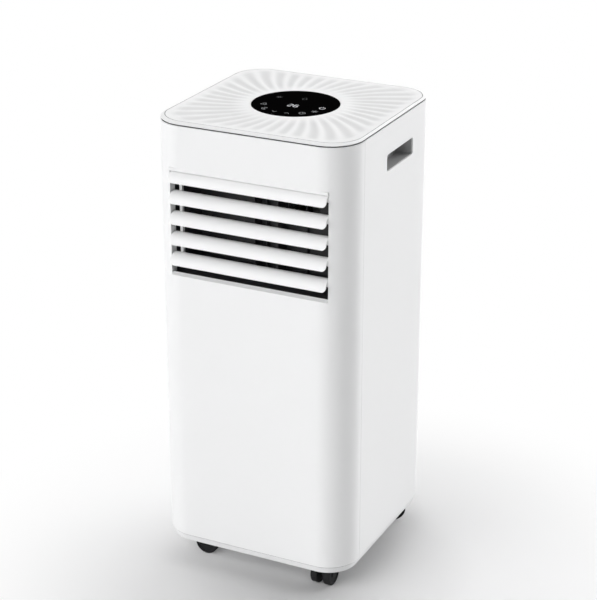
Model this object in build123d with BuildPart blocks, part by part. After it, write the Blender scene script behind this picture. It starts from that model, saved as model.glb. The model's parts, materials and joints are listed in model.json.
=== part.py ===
from build123d import *
from math import cos, degrees, hypot, pi, radians, sin, sqrt
import os

os.makedirs("parts", exist_ok=True)

# Portable air conditioner on four twin-wheel casters.
# Origin on the floor under the middle of the body, +Z up, the louvred front faces -Y, +X is its right-hand
# side as seen from the front. Millimetres.

# ------------------------------------------------------------------ casing
body_width = 305.0
body_depth = 305.0
corner_radius = 48.0
wall = 2.5
fit_gap = 0.3  # between shells that clip together
run_fit = 0.06  # radial clearance of a pin in its bore

rim_bottom = 35.0  # ground clearance under the base
rim_inset = 4.1  # the base rim leans in towards the floor
rim_top_inset = 2.0
rim_wall = 3.0
floor_bottom = 44.0
floor_thick = 3.0
shell_bottom = 45.6
shell_top = 684.4
upstand_height = 26.0
seam_y = -100.2  # rear edge of the front panel
seam_gap = 0.5
back_seam_side = 44.0  # from the casing's side to the seam of the rear panel
lip_depth = 10.0
back_lip_depth = 4.0
lip_thick = 2.0
lip_clear = 1.0  # above the base and below the lid

floor_top = floor_bottom + floor_thick
upstand_inset = wall + fit_gap
upstand_top = shell_bottom + upstand_height
lip_inset = wall + fit_gap
inner_inset = lip_inset + lip_thick + fit_gap  # room left for what stands inside the lips
back_seam_x = body_width / 2 - back_seam_side
front_face = -body_depth / 2
rear_face = body_depth / 2

# ------------------------------------------------------------------ lid and touch panel
lid_groove = 1.6
lid_edge = 1.2
lid_rise = 2.0
lid_bevel = 6.2
lid_neck_depth = 14.0
disc_radius = 63.0
disc_gap = 0.3
disc_thick = 2.6
disc_pocket = 2.0
disc_edge = 0.4
flute_count = 40
flute_depth = 0.9
flute_start = 72.0
flute_phase = 0.7  # degrees from +X to the first groove where it starts
flute_swirl = -0.095  # degrees for each millimetre of radius
flute_margin = 4.0
board_radius = 52.0
board_thick = 1.6
board_post = 1.2
board_post_radius = 3.0
board_post_circle = 47.0
window_gap = 1.0
window_width = 44.0
window_depth = 26.0

lid_bottom = shell_top + lid_groove
lid_top = lid_bottom + lid_edge + lid_rise
pocket_floor = lid_top - disc_pocket

# ------------------------------------------------------------------ louvred outlet
outlet_side = 30.5  # from the casing's side to the outlet
outlet_bottom = 463.0
outlet_height = 159.7
flange_wall = 2.5
flange_depth = 17.5
blade_count = 5
blade_pitch = 30.6
blade_radius = 15.1
blade_thick = 2.2
blade_proud = 4.5  # how far the lips stand out of the front face
blade_top_angle = 65.0  # where the curl runs out into the flat tail
blade_tail = 7.3
blade_end_gap = 1.0
blade_corner = 6.0
blade_top_drop = 20.85  # top of the outlet down to the centre of the top blade's curl
pivot_rise = 6.5
pivot_pin = 2.0
pivot_pin_short = 0.2  # below the outer face of the pocket's wall
lug_radius = 3.4
lug_width = 3.0
lug_sink = 0.5  # into the blade's inner face
link_side = 8.5  # from the outlet's side to the link bar
link_width = 4.3
link_depth = 5.0
link_pin = 1.3
link_set_in = 2.4
link_side_gap = 0.9
link_end_gap = 0.4
link_pin_sink = 1.5  # into the tail at each side of the notch

outlet_width = body_width - 2 * outlet_side
link_x = link_side - outlet_width / 2
outlet_top = outlet_bottom + outlet_height
outlet_middle = outlet_bottom + outlet_height / 2
flange_back = front_face + flange_depth
curl_y = front_face - blade_proud + blade_radius
curl_z = [outlet_top - blade_top_drop - i * blade_pitch for i in range(blade_count)]
tail_direction = (sin(radians(blade_top_angle)), -cos(radians(blade_top_angle)))
link_reach = blade_tail - link_set_in

# ------------------------------------------------------------------ side handles
handle_length = 91.4
handle_height = 24.8
handle_y = 21.2
handle_z = 629.7
handle_corner = 4.0
cup_depth = 24.0
cup_wall = 2.0
cup_flange = 5.0
cup_taper = 6.0

# ------------------------------------------------------------------ rear openings
grille_side = 52.5  # from the casing's side to a grille
upper_grille_bottom = 418.0
upper_grille_height = 204.0
lower_grille_bottom = 80.0
lower_grille_height = 150.0
grille_thick = 4.0
grille_edge_gap = 0.5
grille_set_back = 0.2  # the grilles sit just under flush
frame_wall = 4.0
ledge = 4.0
ledge_thick = 2.5
slot_height = 5.0
slot_pitch = 10.0
slot_columns = 4
grille_border = 9.0
grille_rib = 5.0
door_pin = 1.25
door_pin_length = 2.4
filter_thick = 3.0
filter_frame = 6.0
filter_skin = 0.6

grille_width = body_width - 2 * grille_side
grille_front = rear_face - grille_thick - grille_set_back  # inner face of a grille
ledge_back = grille_front - fit_gap
frame_front = ledge_back - ledge_thick
door_axis_y = grille_front + grille_thick / 2
door_axis_z = upper_grille_bottom + grille_edge_gap + grille_thick / 2

exhaust_z = 318.0
collar_bore = 62.0
collar_wall = 3.0
collar_gap = 0.5
collar_flange = 9.0
collar_flange_thick = 2.5
collar_proud = 4.5
collar_depth = 29.0

spout_radius = 6.0
spout_bore = 4.0
spout_proud = 1.0
lower_spout = (0.0, 60.0)
upper_spout = (60.5 - body_width / 2, 397.0)
plug_head = 7.5
plug_thick = 3.2
plug_stem = 3.7
plug_length = 8.0
plug_edge = 0.8

cord_place = (body_width / 2 - 60.5, 252.0)
cord_bore = 4.2
cord_neck = 7.2
cord_flange = 11.0
cord_flange_thick = 2.5
cord_nut = 10.0
cord_nut_thick = 3.7

screw_x = body_width / 2 - 62.5
screw_head = 3.5
screw_head_thick = 1.8
screw_shank = 1.9
screw_length = 7.0
screw_low = 58.0
screw_high = 679.0
screw_middle = (screw_high + screw_low) / 2

# ------------------------------------------------------------------ casters
caster_inset = 48.0  # from the casing's faces to the swivel axes
wheel_radius = 18.0
wheel_width = 11.0
wheel_gap = 0.5
web_width = 8.0
trail = 12.0
hood_gap = 0.8
hood_thick = 2.2
hood_low = 9.0  # lower edge, above the axle
hood_front = 19.8  # front edge, ahead of the axle
crown_radius = 10.0
crown_thick = 4.0
stem_radius = 4.0
stem_length = 15.0
socket_flange = 9.0
socket_proud = 2.7  # below the base's floor
socket_radius = 6.5
socket_boss = 10.0
socket_room = 2.0  # above the stem's end
boss_clear = 1.0
axle_radius = 3.0
axle_reach = 8.5  # into each wheel
axle_boss = 6.0
wheel_rim = 4.0
wheel_recess = 1.5
wheel_edge = 1.0
casters = {"front_left": 0.0, "front_right": -90.0, "rear_left": 120.0, "rear_right": 35.0}

caster_x = body_width / 2 - caster_inset
caster_y = body_depth / 2 - caster_inset
socket_bottom = floor_bottom - socket_proud
crown_top = socket_bottom - fit_gap
boss_top = crown_top + stem_length + socket_room

# ------------------------------------------------------------------ cooling parts
tray_bottom = 388.0
tray_thick = 3.0
tray_rim = 13.0
coil_side = 40.5  # from the casing's side to a coil
coil_depth = 34.0
coil_rear = 12.5  # from the casing's rear face to a coil
end_plate = 2.0
end_plate_proud = 2.0
evaporator_height = 210.0
condenser_height = 178.0
rail_width = 30.0
rail_spread = 130.0
fin_count = 26
fin_slot = 4.0
fin_slot_depth = 3.0
bend_pitch = 40.0
bend_radius = 12.0
bend_tube = 3.5
tube_stub = 3.0

scroll_skin = 2.5
tongue_angle = 60.0
tongue_gap = 10.0
volute_growth = 32.0
inlet_margin = 8.0
fan_blades = 28
fan_blade_thick = 1.6
fan_blade_chord = 13.0
fan_blade_angle = 35.0
fan_disc = 2.0
fan_ring = 9.0
fan_hub = 11.0
shaft_radius = 4.0
shaft_hole = 6.0
shaft_end_gap = 1.0
fan_side_gap = 6.0
scroll_foot = 60.0
scroll_foot_set_in = 20.0
motor_edge = 5.0

cold_fan_x = -38.0
cold_fan_z = 520.0
cold_fan_radius = 66.0
cold_scroll_front = -58.0
cold_scroll_depth = 68.0
cold_throat_width = 56.0
cold_throat_drop = 4.7  # below the top of the outlet
cold_window_margin = 3.0
cold_window_bottom = 534.0
cold_motor_radius = 34.0
cold_motor_length = 40.0
cold_motor_gap = 16.0
spider_post = 4.0
spider_clear = 1.0  # between a post and the inlet's edge
duct_wall = 2.5

hot_fan_x = 30.0
hot_fan_z = 152.0
hot_fan_radius = 60.0
hot_scroll_front = 22.0
hot_scroll_depth = 66.0
hot_throat_width = 58.0
hot_motor_radius = 34.0
hot_motor_length = 46.0

chamber_left = -68.0
chamber_bottom = 250.0
chamber_drop = 2.5  # below the water tray
chamber_wall = 2.5
spigot_bore = 60.0
spigot_wall = 6.0

splash_x = -70.0
splash_z = 88.0
splash_radius = 37.0
splash_thick = 3.0
splash_teeth = 16
splash_y = 96.0
splash_motor_radius = 16.0
splash_motor_length = 26.0
splash_shaft = 2.5
splash_gap = 2.0  # between the wheel and its motor
splash_tooth = (10.0, 4.0)
splash_body = 32.0
bracket_width = 20.0
bracket_thick = 4.0

compressor_x = 78.5 - body_width / 2
compressor_y = 86.5 - body_depth / 2
compressor_radius = 51.0
compressor_height = 205.0
compressor_dome = 20.0
foot_reach = 62.0
foot_pad = 11.0
foot_thick = 3.0
grommet_radius = 8.0
grommet_height = 13.0
grommet_tip = 2.0  # above the foot
accumulator_radius = 21.0
accumulator_height = 125.0
accumulator_gap = 8.0
accumulator_angle = -25.0
accumulator_lift = 34.0
accumulator_round = 8.0
strap_width = 14.0
strap_height = 18.0

box_width = 150.0
box_depth = 72.0
box_height = 30.0
box_corner = 3.0
box_lip = 2.0
box_y = 68.5 - body_depth / 2
box_x = -30.0
capacitor_radius = 17.0
capacitor_height = 34.0
capacitor_edge = 2.0
capacitor_x = body_width / 2 - 64.5
pipe_radius = 4.0
pipe_bend = 12.0
discharge_x = 14.5 - body_width / 2
liquid_x = 25.5 - body_width / 2
liquid_ahead = 9.0  # of the coils' middle
suction_x = 16.5 - body_width / 2
suction_ahead = 31.0
discharge_rise = 24.0
liquid_rise = 40.0
suction_rise = 147.0
cross_drop = 20.0
port_set_in = 20.0

tray_top = tray_bottom + tray_thick
chamber_top = tray_bottom - chamber_drop
condenser_bottom = boss_top + boss_clear
condenser_top = condenser_bottom + condenser_height
coil_width = body_width - 2 * coil_side
coil_back = rear_face - coil_rear
coil_middle = coil_back - coil_depth / 2
liquid_y = coil_middle - liquid_ahead
suction_y = coil_middle - suction_ahead
cold_throat_top = outlet_top - cold_throat_drop
cold_scroll_back = cold_scroll_front + cold_scroll_depth
hot_scroll_back = hot_scroll_front + hot_scroll_depth
foot_top = floor_top + grommet_height + foot_thick
compressor_top = foot_top + compressor_height
accumulator_x = compressor_x + (compressor_radius + accumulator_radius + accumulator_gap) * cos(
    radians(accumulator_angle))
accumulator_y = compressor_y + (compressor_radius + accumulator_radius + accumulator_gap) * sin(
    radians(accumulator_angle))
accumulator_bottom = foot_top + accumulator_lift
accumulator_top = accumulator_bottom + accumulator_height
duct_top = outlet_top + duct_wall
collar_front = rear_face + collar_proud - collar_depth


def outline(inset=0.0, mode=Mode.ADD):
    """Rounded square plan of the body, moved in from its outer face by inset."""
    return RectangleRounded(
        body_width - 2 * inset, body_depth - 2 * inset, corner_radius - inset, mode=mode)


def xz_plane(y):
    """Upright plane at this y: local x is +X, local y is +Z, and a positive extrusion goes to -Y."""
    return Plane.XZ.offset(-y)


# ------------------------------------------------------------------ base
with BuildPart() as base_tray:
    with BuildSketch(Plane.XY.offset(rim_bottom)):
        outline(rim_inset)
    with BuildSketch(Plane.XY.offset(shell_bottom)):
        outline(rim_top_inset)
    loft()
    with BuildSketch(Plane.XY.offset(rim_bottom)):
        outline(rim_inset + rim_wall)
    extrude(amount=floor_bottom - rim_bottom, mode=Mode.SUBTRACT)
    with BuildSketch(Plane.XY.offset(floor_bottom)):
        outline(upstand_inset)
    extrude(amount=upstand_top - floor_bottom)
    with BuildSketch(Plane.XY.offset(floor_top)):
        outline(upstand_inset + wall)
    extrude(amount=upstand_top - floor_top, mode=Mode.SUBTRACT)
    with BuildSketch(Plane.XY.offset(floor_top)):
        with GridLocations(2 * caster_x, 2 * caster_y, 2, 2):
            Circle(socket_boss)
    extrude(amount=boss_top - floor_top)
    with BuildSketch(Plane.XY.offset(floor_bottom)):
        with GridLocations(2 * caster_x, 2 * caster_y, 2, 2):
            Circle(socket_radius)
    extrude(amount=boss_top - floor_bottom, mode=Mode.SUBTRACT)
    # rails that lift the condenser out of the water
    with BuildSketch(Plane.XY.offset(floor_top)):
        with Locations((0, coil_middle)):
            with GridLocations(rail_spread, 1, 2, 1):
                Rectangle(rail_width, coil_depth)
    extrude(amount=condenser_bottom - floor_top)
    with BuildSketch(xz_plane(rear_face)):
        with Locations((-screw_x, screw_low), (screw_x, screw_low)):
            Circle(screw_shank)
        with Locations(lower_spout):
            Circle(spout_bore)
    extrude(amount=upstand_inset + wall + 1, mode=Mode.SUBTRACT)
base_tray.part.label = "base_tray"
export_step(base_tray.part, "parts/base_tray.step")

# ------------------------------------------------------------------ front panel with its louvre pocket
with BuildPart() as front_panel:
    with BuildSketch(xz_plane(flange_back)):
        with Locations((0, outlet_middle)):
            Rectangle(outlet_width + 2 * flange_wall, outlet_height + 2 * flange_wall)
    extrude(amount=flange_depth)
    with BuildSketch(Plane.XY.offset(shell_bottom)):
        outline()
    extrude(amount=shell_top - shell_bottom, mode=Mode.INTERSECT)
    with BuildSketch(Plane.XY.offset(shell_bottom)):
        outline()
        outline(wall, mode=Mode.SUBTRACT)
    extrude(amount=shell_top - shell_bottom)
    split(bisect_by=xz_plane(seam_y), keep=Keep.TOP)
    with BuildSketch(xz_plane(front_face - 1)):
        with Locations((0, outlet_middle)):
            Rectangle(outlet_width, outlet_height)
    extrude(amount=-(flange_depth + 2), mode=Mode.SUBTRACT)
    with BuildSketch(Plane.YZ):
        with Locations(*[(curl_y, z + pivot_rise) for z in curl_z]):
            Circle(pivot_pin + run_fit)
    extrude(amount=outlet_width / 2 + flange_wall, both=True, mode=Mode.SUBTRACT)
front_panel.part.label = "front_panel"
export_step(front_panel.part, "parts/front_panel.step")

# ------------------------------------------------------------------ side panels, each with its rear corner
def side_strip(side, near, far, front, depth):
    """Rectangle on one side of the body, between two distances from its middle and back from y = front."""
    with Locations((side * (near + far) / 2, front + depth / 2)):
        Rectangle(far - near, depth, mode=Mode.INTERSECT)


for name, side in (("side_panel_left", -1), ("side_panel_right", 1)):
    with BuildPart() as side_panel:
        with BuildSketch(Plane.XY.offset(shell_bottom)):
            outline()
            outline(wall, mode=Mode.SUBTRACT)
            side_strip(side, back_seam_x + seam_gap, body_width / 2, seam_y + seam_gap, body_depth)
        extrude(amount=shell_top - shell_bottom)
        # lips that run behind the edges of the front and rear panels, and the roots that carry them
        for inset, near, far, front, depth in (
            (lip_inset, 0, body_width / 2, seam_y - lip_depth, 2 * lip_depth),
            (wall, 0, body_width / 2, seam_y + seam_gap, lip_depth),
            (lip_inset, back_seam_x - back_lip_depth, back_seam_x + 2 * back_lip_depth, 0, body_depth),
            (wall, back_seam_x + seam_gap, back_seam_x + 2 * back_lip_depth, 0, body_depth)):
            with BuildSketch(Plane.XY.offset(upstand_top + lip_clear)):
                outline(inset)
                outline(lip_inset + lip_thick, mode=Mode.SUBTRACT)
                side_strip(side, near, far, front, depth)
            extrude(amount=lid_bottom - lid_neck_depth - upstand_top - 2 * lip_clear)
        with BuildSketch(Plane.YZ):
            with Locations((handle_y, handle_z)):
                RectangleRounded(handle_length, handle_height, handle_corner)
        extrude(amount=body_width / 2 + 1, both=True, mode=Mode.SUBTRACT)
    side_panel.part.label = name
    export_step(side_panel.part, f"parts/{name}.step")

# ------------------------------------------------------------------ rear panel
with BuildPart() as rear_panel:
    with BuildSketch(Plane.XY.offset(shell_bottom)):
        outline()
        outline(wall, mode=Mode.SUBTRACT)
        with Locations((0, rear_face / 2)):
            Rectangle(2 * back_seam_x, rear_face, mode=Mode.INTERSECT)
    extrude(amount=shell_top - shell_bottom)
    # frames and ledges that hold the two grilles
    for bottom, height in (
        (upper_grille_bottom, upper_grille_height), (lower_grille_bottom, lower_grille_height)):
        with BuildSketch(xz_plane(frame_front)):
            with Locations((0, bottom + height / 2)):
                Rectangle(grille_width + 2 * frame_wall, height + 2 * frame_wall)
        extrude(amount=-(rear_face - wall - frame_front))
        with BuildSketch(xz_plane(frame_front)):
            with Locations((0, bottom + height / 2)):
                Rectangle(grille_width - 2 * ledge, height - 2 * ledge)
        extrude(amount=-(rear_face - frame_front), mode=Mode.SUBTRACT)
        with BuildSketch(xz_plane(ledge_back)):
            with Locations((0, bottom + height / 2)):
                Rectangle(grille_width, height)
        extrude(amount=-(rear_face - ledge_back), mode=Mode.SUBTRACT)
    with BuildSketch(Plane.YZ):
        with Locations((door_axis_y, door_axis_z)):
            Circle(door_pin + run_fit)
    extrude(amount=grille_width / 2 + frame_wall - 1, both=True, mode=Mode.SUBTRACT)
    # round holes
    with BuildSketch(xz_plane(rear_face)):
        with Locations((0, exhaust_z)):
            Circle(collar_bore + collar_wall + collar_gap)
        with Locations(lower_spout, upper_spout):
            Circle(spout_radius + fit_gap)
        with Locations(cord_place):
            Circle(cord_neck + fit_gap)
        with GridLocations(2 * screw_x, screw_high - screw_low, 2, 2):
            with Locations((0, screw_middle)):
                Circle(screw_shank)
    extrude(amount=wall + 1, mode=Mode.SUBTRACT)
rear_panel.part.label = "rear_panel"
export_step(rear_panel.part, "parts/rear_panel.step")

# ------------------------------------------------------------------ lid
def margin_radius(angle):
    """Distance from the lid's middle to the edge of its fluted field, along a direction in degrees."""
    half_x = body_width / 2 - lid_bevel - flute_margin
    half_y = body_depth / 2 - lid_bevel - flute_margin
    corner = corner_radius - lid_bevel - flute_margin
    ux, uy = abs(cos(radians(angle))), abs(sin(radians(angle)))
    reach = min(half_x / max(ux, 1e-9), half_y / max(uy, 1e-9))
    cx, cy = half_x - corner, half_y - corner
    if reach * ux > cx and reach * uy > cy:
        along = ux * cx + uy * cy
        reach = along + sqrt(along**2 - (cx**2 + cy**2 - corner**2))
    return reach


# swirling flutes: V grooves that widen and deepen outwards, then run out at the margin
with BuildPart() as flute_cutters:
    for i in range(flute_count):
        start = flute_phase + i * 360 / flute_count
        end_radius = margin_radius(start)
        # radius, share of the pitch taken by half the groove, share of its full depth
        stations = (
            (flute_start, 0.25, 0.3), ((flute_start + end_radius) / 2, 0.42, 1.0), (end_radius, 0.42, 0.35))
        for radius, share, depth in stations:
            turn = radians(start + flute_swirl * (radius - flute_start))
            half = share * 2 * pi * radius / flute_count
            place = Vector(radius * cos(turn), radius * sin(turn), lid_top)
            with BuildSketch(Plane(place, x_dir=(-sin(turn), cos(turn), 0), z_dir=(cos(turn), sin(turn), 0))):
                with BuildLine():
                    Polyline((-half, flute_depth), (-half, 0), (0, -depth * flute_depth), (half, 0),
                             (half, flute_depth), close=True)
                make_face()
        loft(ruled=True)

with BuildPart() as top_cover:
    with BuildSketch(Plane.XY.offset(lid_bottom)):
        outline()
    extrude(amount=lid_edge)
    with BuildSketch(Plane.XY.offset(lid_bottom + lid_edge)):
        outline()
    with BuildSketch(Plane.XY.offset(lid_top)):
        outline(lid_bevel)
    loft()
    with BuildSketch(Plane.XY.offset(lid_bottom)):
        outline(upstand_inset)
        outline(upstand_inset + wall, mode=Mode.SUBTRACT)
    extrude(amount=-lid_neck_depth)
    with BuildSketch(Plane.XY.offset(lid_bottom)):
        with PolarLocations(board_post_circle, 4, start_angle=45):
            Circle(board_post_radius)
    extrude(amount=-board_post)
    add(flute_cutters.part, mode=Mode.SUBTRACT)
    with BuildSketch(Plane.XY.offset(lid_top)):
        Circle(disc_radius + disc_gap)
    extrude(amount=-disc_pocket, mode=Mode.SUBTRACT)
    with BuildSketch(Plane.XY.offset(pocket_floor)):
        RectangleRounded(window_width + 2 * window_gap, window_depth + 2 * window_gap, 2 * window_gap)
    extrude(amount=-(pocket_floor - lid_bottom), mode=Mode.SUBTRACT)
    with BuildSketch(xz_plane(rear_face)):
        with Locations((-screw_x, screw_high), (screw_x, screw_high)):
            Circle(screw_shank)
    extrude(amount=upstand_inset + wall + 1, mode=Mode.SUBTRACT)
top_cover.part.label = "top_cover"
export_step(top_cover.part, "parts/top_cover.step")

with BuildPart() as control_disc:
    with BuildSketch(Plane.XY.offset(pocket_floor)):
        Circle(disc_radius)
    extrude(amount=disc_thick)
    chamfer(control_disc.edges().group_by(Axis.Z)[-1], length=disc_edge)
control_disc.part.label = "control_disc"
export_step(control_disc.part, "parts/control_disc.step")

with BuildPart() as display_board:
    with BuildSketch(Plane.XY.offset(lid_bottom - board_post)):
        Circle(board_radius)
    extrude(amount=-board_thick)
    with BuildSketch(Plane.XY.offset(lid_bottom - board_post)):
        Rectangle(window_width, window_depth)
    extrude(amount=pocket_floor - lid_bottom + board_post)
display_board.part.label = "display_board"
export_step(display_board.part, "parts/display_board.step")

# ------------------------------------------------------------------ handle cups
for side, sign in (("left", -1), ("right", 1)):
    inner_wall_x = body_width / 2 - wall
    with BuildPart() as handle_cup:
        with BuildSketch(Plane.YZ.offset(sign * inner_wall_x)):
            with Locations((handle_y, handle_z)):
                RectangleRounded(
                    handle_length + 2 * cup_flange, handle_height + 2 * cup_flange, handle_corner + cup_flange)
        extrude(amount=-sign * cup_wall)
        with BuildSketch(Plane.YZ.offset(sign * (inner_wall_x - cup_wall))):
            with Locations((handle_y, handle_z)):
                RectangleRounded(
                    handle_length + 2 * cup_wall, handle_height + 2 * cup_wall, handle_corner + cup_wall)
        with BuildSketch(Plane.YZ.offset(sign * (inner_wall_x - cup_depth))):
            with Locations((handle_y, handle_z)):
                RectangleRounded(handle_length + 2 * cup_wall - 2 * cup_taper,
                                 handle_height + 2 * cup_wall, handle_corner + cup_wall)
        loft()
        with BuildSketch(Plane.YZ.offset(sign * inner_wall_x)):
            with Locations((handle_y, handle_z)):
                RectangleRounded(handle_length, handle_height, handle_corner)
        with BuildSketch(Plane.YZ.offset(sign * (inner_wall_x - cup_depth + cup_wall))):
            with Locations((handle_y, handle_z)):
                RectangleRounded(handle_length - 2 * cup_taper, handle_height, handle_corner)
        loft(mode=Mode.SUBTRACT)
    handle_cup.part.label = f"handle_cup_{side}"
    export_step(handle_cup.part, f"parts/handle_cup_{side}.step")

# ------------------------------------------------------------------ louvre blades
def along_tail(z, distance, into=0.0):
    """Point on the tail's outer face, this far from the curl's end, and this deep into its thickness."""
    top = radians(blade_top_angle)
    return (
        curl_y + (blade_radius - into) * cos(top) + distance * tail_direction[0],
        z + (blade_radius - into) * sin(top) + distance * tail_direction[1])


def link_point(z):
    """Axis of the pin that ties a blade's tail to the link bar."""
    return along_tail(z, link_reach, blade_thick / 2)


for i, z in enumerate(curl_z):
    half_length = outlet_width / 2 - blade_end_gap
    inner_radius = blade_radius - blade_thick
    curl_arc = 180 - blade_top_angle
    with BuildPart() as louvre_blade:
        with BuildSketch(Plane.YZ):
            with BuildLine():
                outer = CenterArc((curl_y, z), blade_radius, blade_top_angle, curl_arc)
                inner = CenterArc((curl_y, z), inner_radius, blade_top_angle, curl_arc)
                Line(outer @ 1, inner @ 1)
                Line(outer @ 0, along_tail(z, blade_tail))
                Line(along_tail(z, blade_tail), along_tail(z, blade_tail, blade_thick))
                Line(along_tail(z, blade_tail, blade_thick), inner @ 0)
            make_face()
        extrude(amount=half_length, both=True)
        # rounded lower corners of the lip
        with BuildSketch(xz_plane(curl_y)):
            for sign in (-1, 1):
                with Locations((sign * (half_length - blade_corner / 2), z + blade_corner / 2)):
                    Rectangle(blade_corner, blade_corner)
                with Locations((sign * (half_length - blade_corner), z + blade_corner)):
                    Circle(blade_corner, mode=Mode.SUBTRACT)
        extrude(amount=blade_radius + 1, mode=Mode.SUBTRACT)
        # pivot lugs and pins
        for sign in (-1, 1):
            with BuildSketch(Plane.YZ.offset(sign * half_length)):
                with Locations((curl_y, z + pivot_rise)):
                    Circle(lug_radius)
                with Locations((curl_y, z + (pivot_rise + inner_radius + lug_sink) / 2)):
                    Rectangle(2 * lug_radius, inner_radius + lug_sink - pivot_rise)
            extrude(amount=-sign * lug_width)
            with BuildSketch(Plane.YZ.offset(sign * half_length)):
                with Locations((curl_y, z + pivot_rise)):
                    Circle(pivot_pin)
            extrude(amount=sign * (blade_end_gap + flange_wall - pivot_pin_short))
        # notch in the tail for the link bar, with the link pin across it
        notch = link_width + 2 * link_side_gap
        clear = hypot(link_depth, link_depth) / 2 + link_end_gap
        with BuildSketch(Plane.YZ.offset(link_x)):
            with Locations(link_point(z)):
                Circle(clear + blade_thick)
        extrude(amount=notch / 2, both=True, mode=Mode.SUBTRACT)
        with BuildSketch(Plane.YZ.offset(link_x)):
            with Locations(link_point(z)):
                Circle(link_pin)
        extrude(amount=notch / 2 + link_pin_sink, both=True)
    louvre_blade.part.label = f"louvre_blade_{i + 1}"
    export_step(louvre_blade.part, f"parts/louvre_blade_{i + 1}.step")

with BuildPart() as louvre_link_bar:
    top_link = link_point(curl_z[0])
    end_link = link_point(curl_z[-1])
    with BuildSketch(Plane.YZ.offset(link_x)):
        with Locations((top_link[0], (top_link[1] + end_link[1]) / 2)):
            SlotOverall(top_link[1] - end_link[1] + link_depth, link_depth, rotation=90)
        with Locations(*[link_point(z) for z in curl_z]):
            Circle(link_pin + run_fit, mode=Mode.SUBTRACT)
    extrude(amount=link_width / 2, both=True)
louvre_link_bar.part.label = "louvre_link_bar"
export_step(louvre_link_bar.part, "parts/louvre_link_bar.step")

# ------------------------------------------------------------------ grilles and filter on the back
def grille_panel(bottom, height, hinged):
    """Slotted panel that fills one rear opening; the hinged one turns about a rounded lower edge."""
    low = bottom + grille_edge_gap
    high = bottom + height - grille_edge_gap
    rows = int((high - low - 2 * grille_border) / slot_pitch)
    slot_width = (grille_width - 2 * grille_border - (slot_columns - 1) * grille_rib) / slot_columns
    with BuildPart() as panel:
        foot = low + grille_thick / 2 if hinged else low
        with BuildSketch(xz_plane(grille_front)):
            with Locations((0, (foot + high) / 2)):
                Rectangle(grille_width - 2 * grille_edge_gap, high - foot)
        extrude(amount=-grille_thick)
        if hinged:
            with BuildSketch(Plane.YZ):
                with Locations((door_axis_y, door_axis_z)):
                    Circle(grille_thick / 2)
            extrude(amount=grille_width / 2 - grille_edge_gap, both=True)
            with BuildSketch(Plane.YZ):
                with Locations((door_axis_y, door_axis_z)):
                    Circle(door_pin)
            extrude(amount=grille_width / 2 + door_pin_length, both=True)
        with BuildSketch(xz_plane(grille_front)):
            with Locations((0, (low + high) / 2)):
                with GridLocations(slot_width + grille_rib, slot_pitch, slot_columns, rows):
                    Rectangle(slot_width, slot_height)
        extrude(amount=-grille_thick, mode=Mode.SUBTRACT)
    return panel.part


filter_door = grille_panel(upper_grille_bottom, upper_grille_height, True)
filter_door.label = "filter_door"
export_step(filter_door, "parts/filter_door.step")

lower_grille = grille_panel(lower_grille_bottom, lower_grille_height, False)
lower_grille.label = "lower_grille"
export_step(lower_grille, "parts/lower_grille.step")

with BuildPart() as dust_filter:
    filter_width = grille_width - 2 * ledge - 2 * grille_edge_gap
    filter_height = upper_grille_height - 2 * ledge - 2 * grille_edge_gap
    filter_middle = upper_grille_bottom + upper_grille_height / 2
    with BuildSketch(xz_plane(grille_front)):
        with Locations((0, filter_middle)):
            Rectangle(filter_width, filter_height)
            Rectangle(filter_width - 2 * filter_frame, filter_height - 2 * filter_frame, mode=Mode.SUBTRACT)
            Rectangle(filter_width, filter_frame)
            Rectangle(filter_frame, filter_height)
    extrude(amount=filter_thick)
    with BuildSketch(xz_plane(grille_front - filter_thick / 2)):
        with Locations((0, filter_middle)):
            Rectangle(filter_width - filter_frame, filter_height - filter_frame)
    extrude(amount=filter_skin)
dust_filter.part.label = "dust_filter"
export_step(dust_filter.part, "parts/dust_filter.step")

# ------------------------------------------------------------------ exhaust collar, spouts, plugs, cord inlet
with BuildPart() as exhaust_collar:
    with BuildSketch(xz_plane(collar_front)):
        with Locations((0, exhaust_z)):
            Circle(collar_bore + collar_wall)
    extrude(amount=-collar_depth)
    with BuildSketch(xz_plane(rear_face)):
        with Locations((0, exhaust_z)):
            Circle(collar_bore + collar_wall + collar_flange)
    extrude(amount=-collar_flange_thick)
    with BuildSketch(xz_plane(collar_front)):
        with Locations((0, exhaust_z)):
            Circle(collar_bore)
    extrude(amount=-collar_depth, mode=Mode.SUBTRACT)
exhaust_collar.part.label = "exhaust_collar"
export_step(exhaust_collar.part, "parts/exhaust_collar.step")

with BuildPart() as drain_spouts:
    for place, start_y in (
        (lower_spout, rear_face - upstand_inset), (upper_spout, rear_face - inner_inset)):
        with BuildSketch(xz_plane(start_y)):
            with Locations(place):
                Circle(spout_radius)
                Circle(spout_bore, mode=Mode.SUBTRACT)
        extrude(amount=-(rear_face + spout_proud - start_y))
drain_spouts.part.label = "drain_spouts"
export_step(drain_spouts.part, "parts/drain_spouts.step")

for level, place in (("lower", lower_spout), ("upper", upper_spout)):
    seat = rear_face + spout_proud + fit_gap
    with BuildPart() as drain_plug:
        with BuildSketch(xz_plane(seat)):
            with Locations(place):
                Circle(plug_head)
        extrude(amount=-plug_thick)
        chamfer(drain_plug.edges().group_by(Axis.Y)[-1], length=plug_edge)
        with BuildSketch(xz_plane(seat)):
            with Locations(place):
                Circle(plug_stem)
        extrude(amount=plug_length)
    drain_plug.part.label = f"drain_plug_{level}"
    export_step(drain_plug.part, f"parts/drain_plug_{level}.step")

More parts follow.
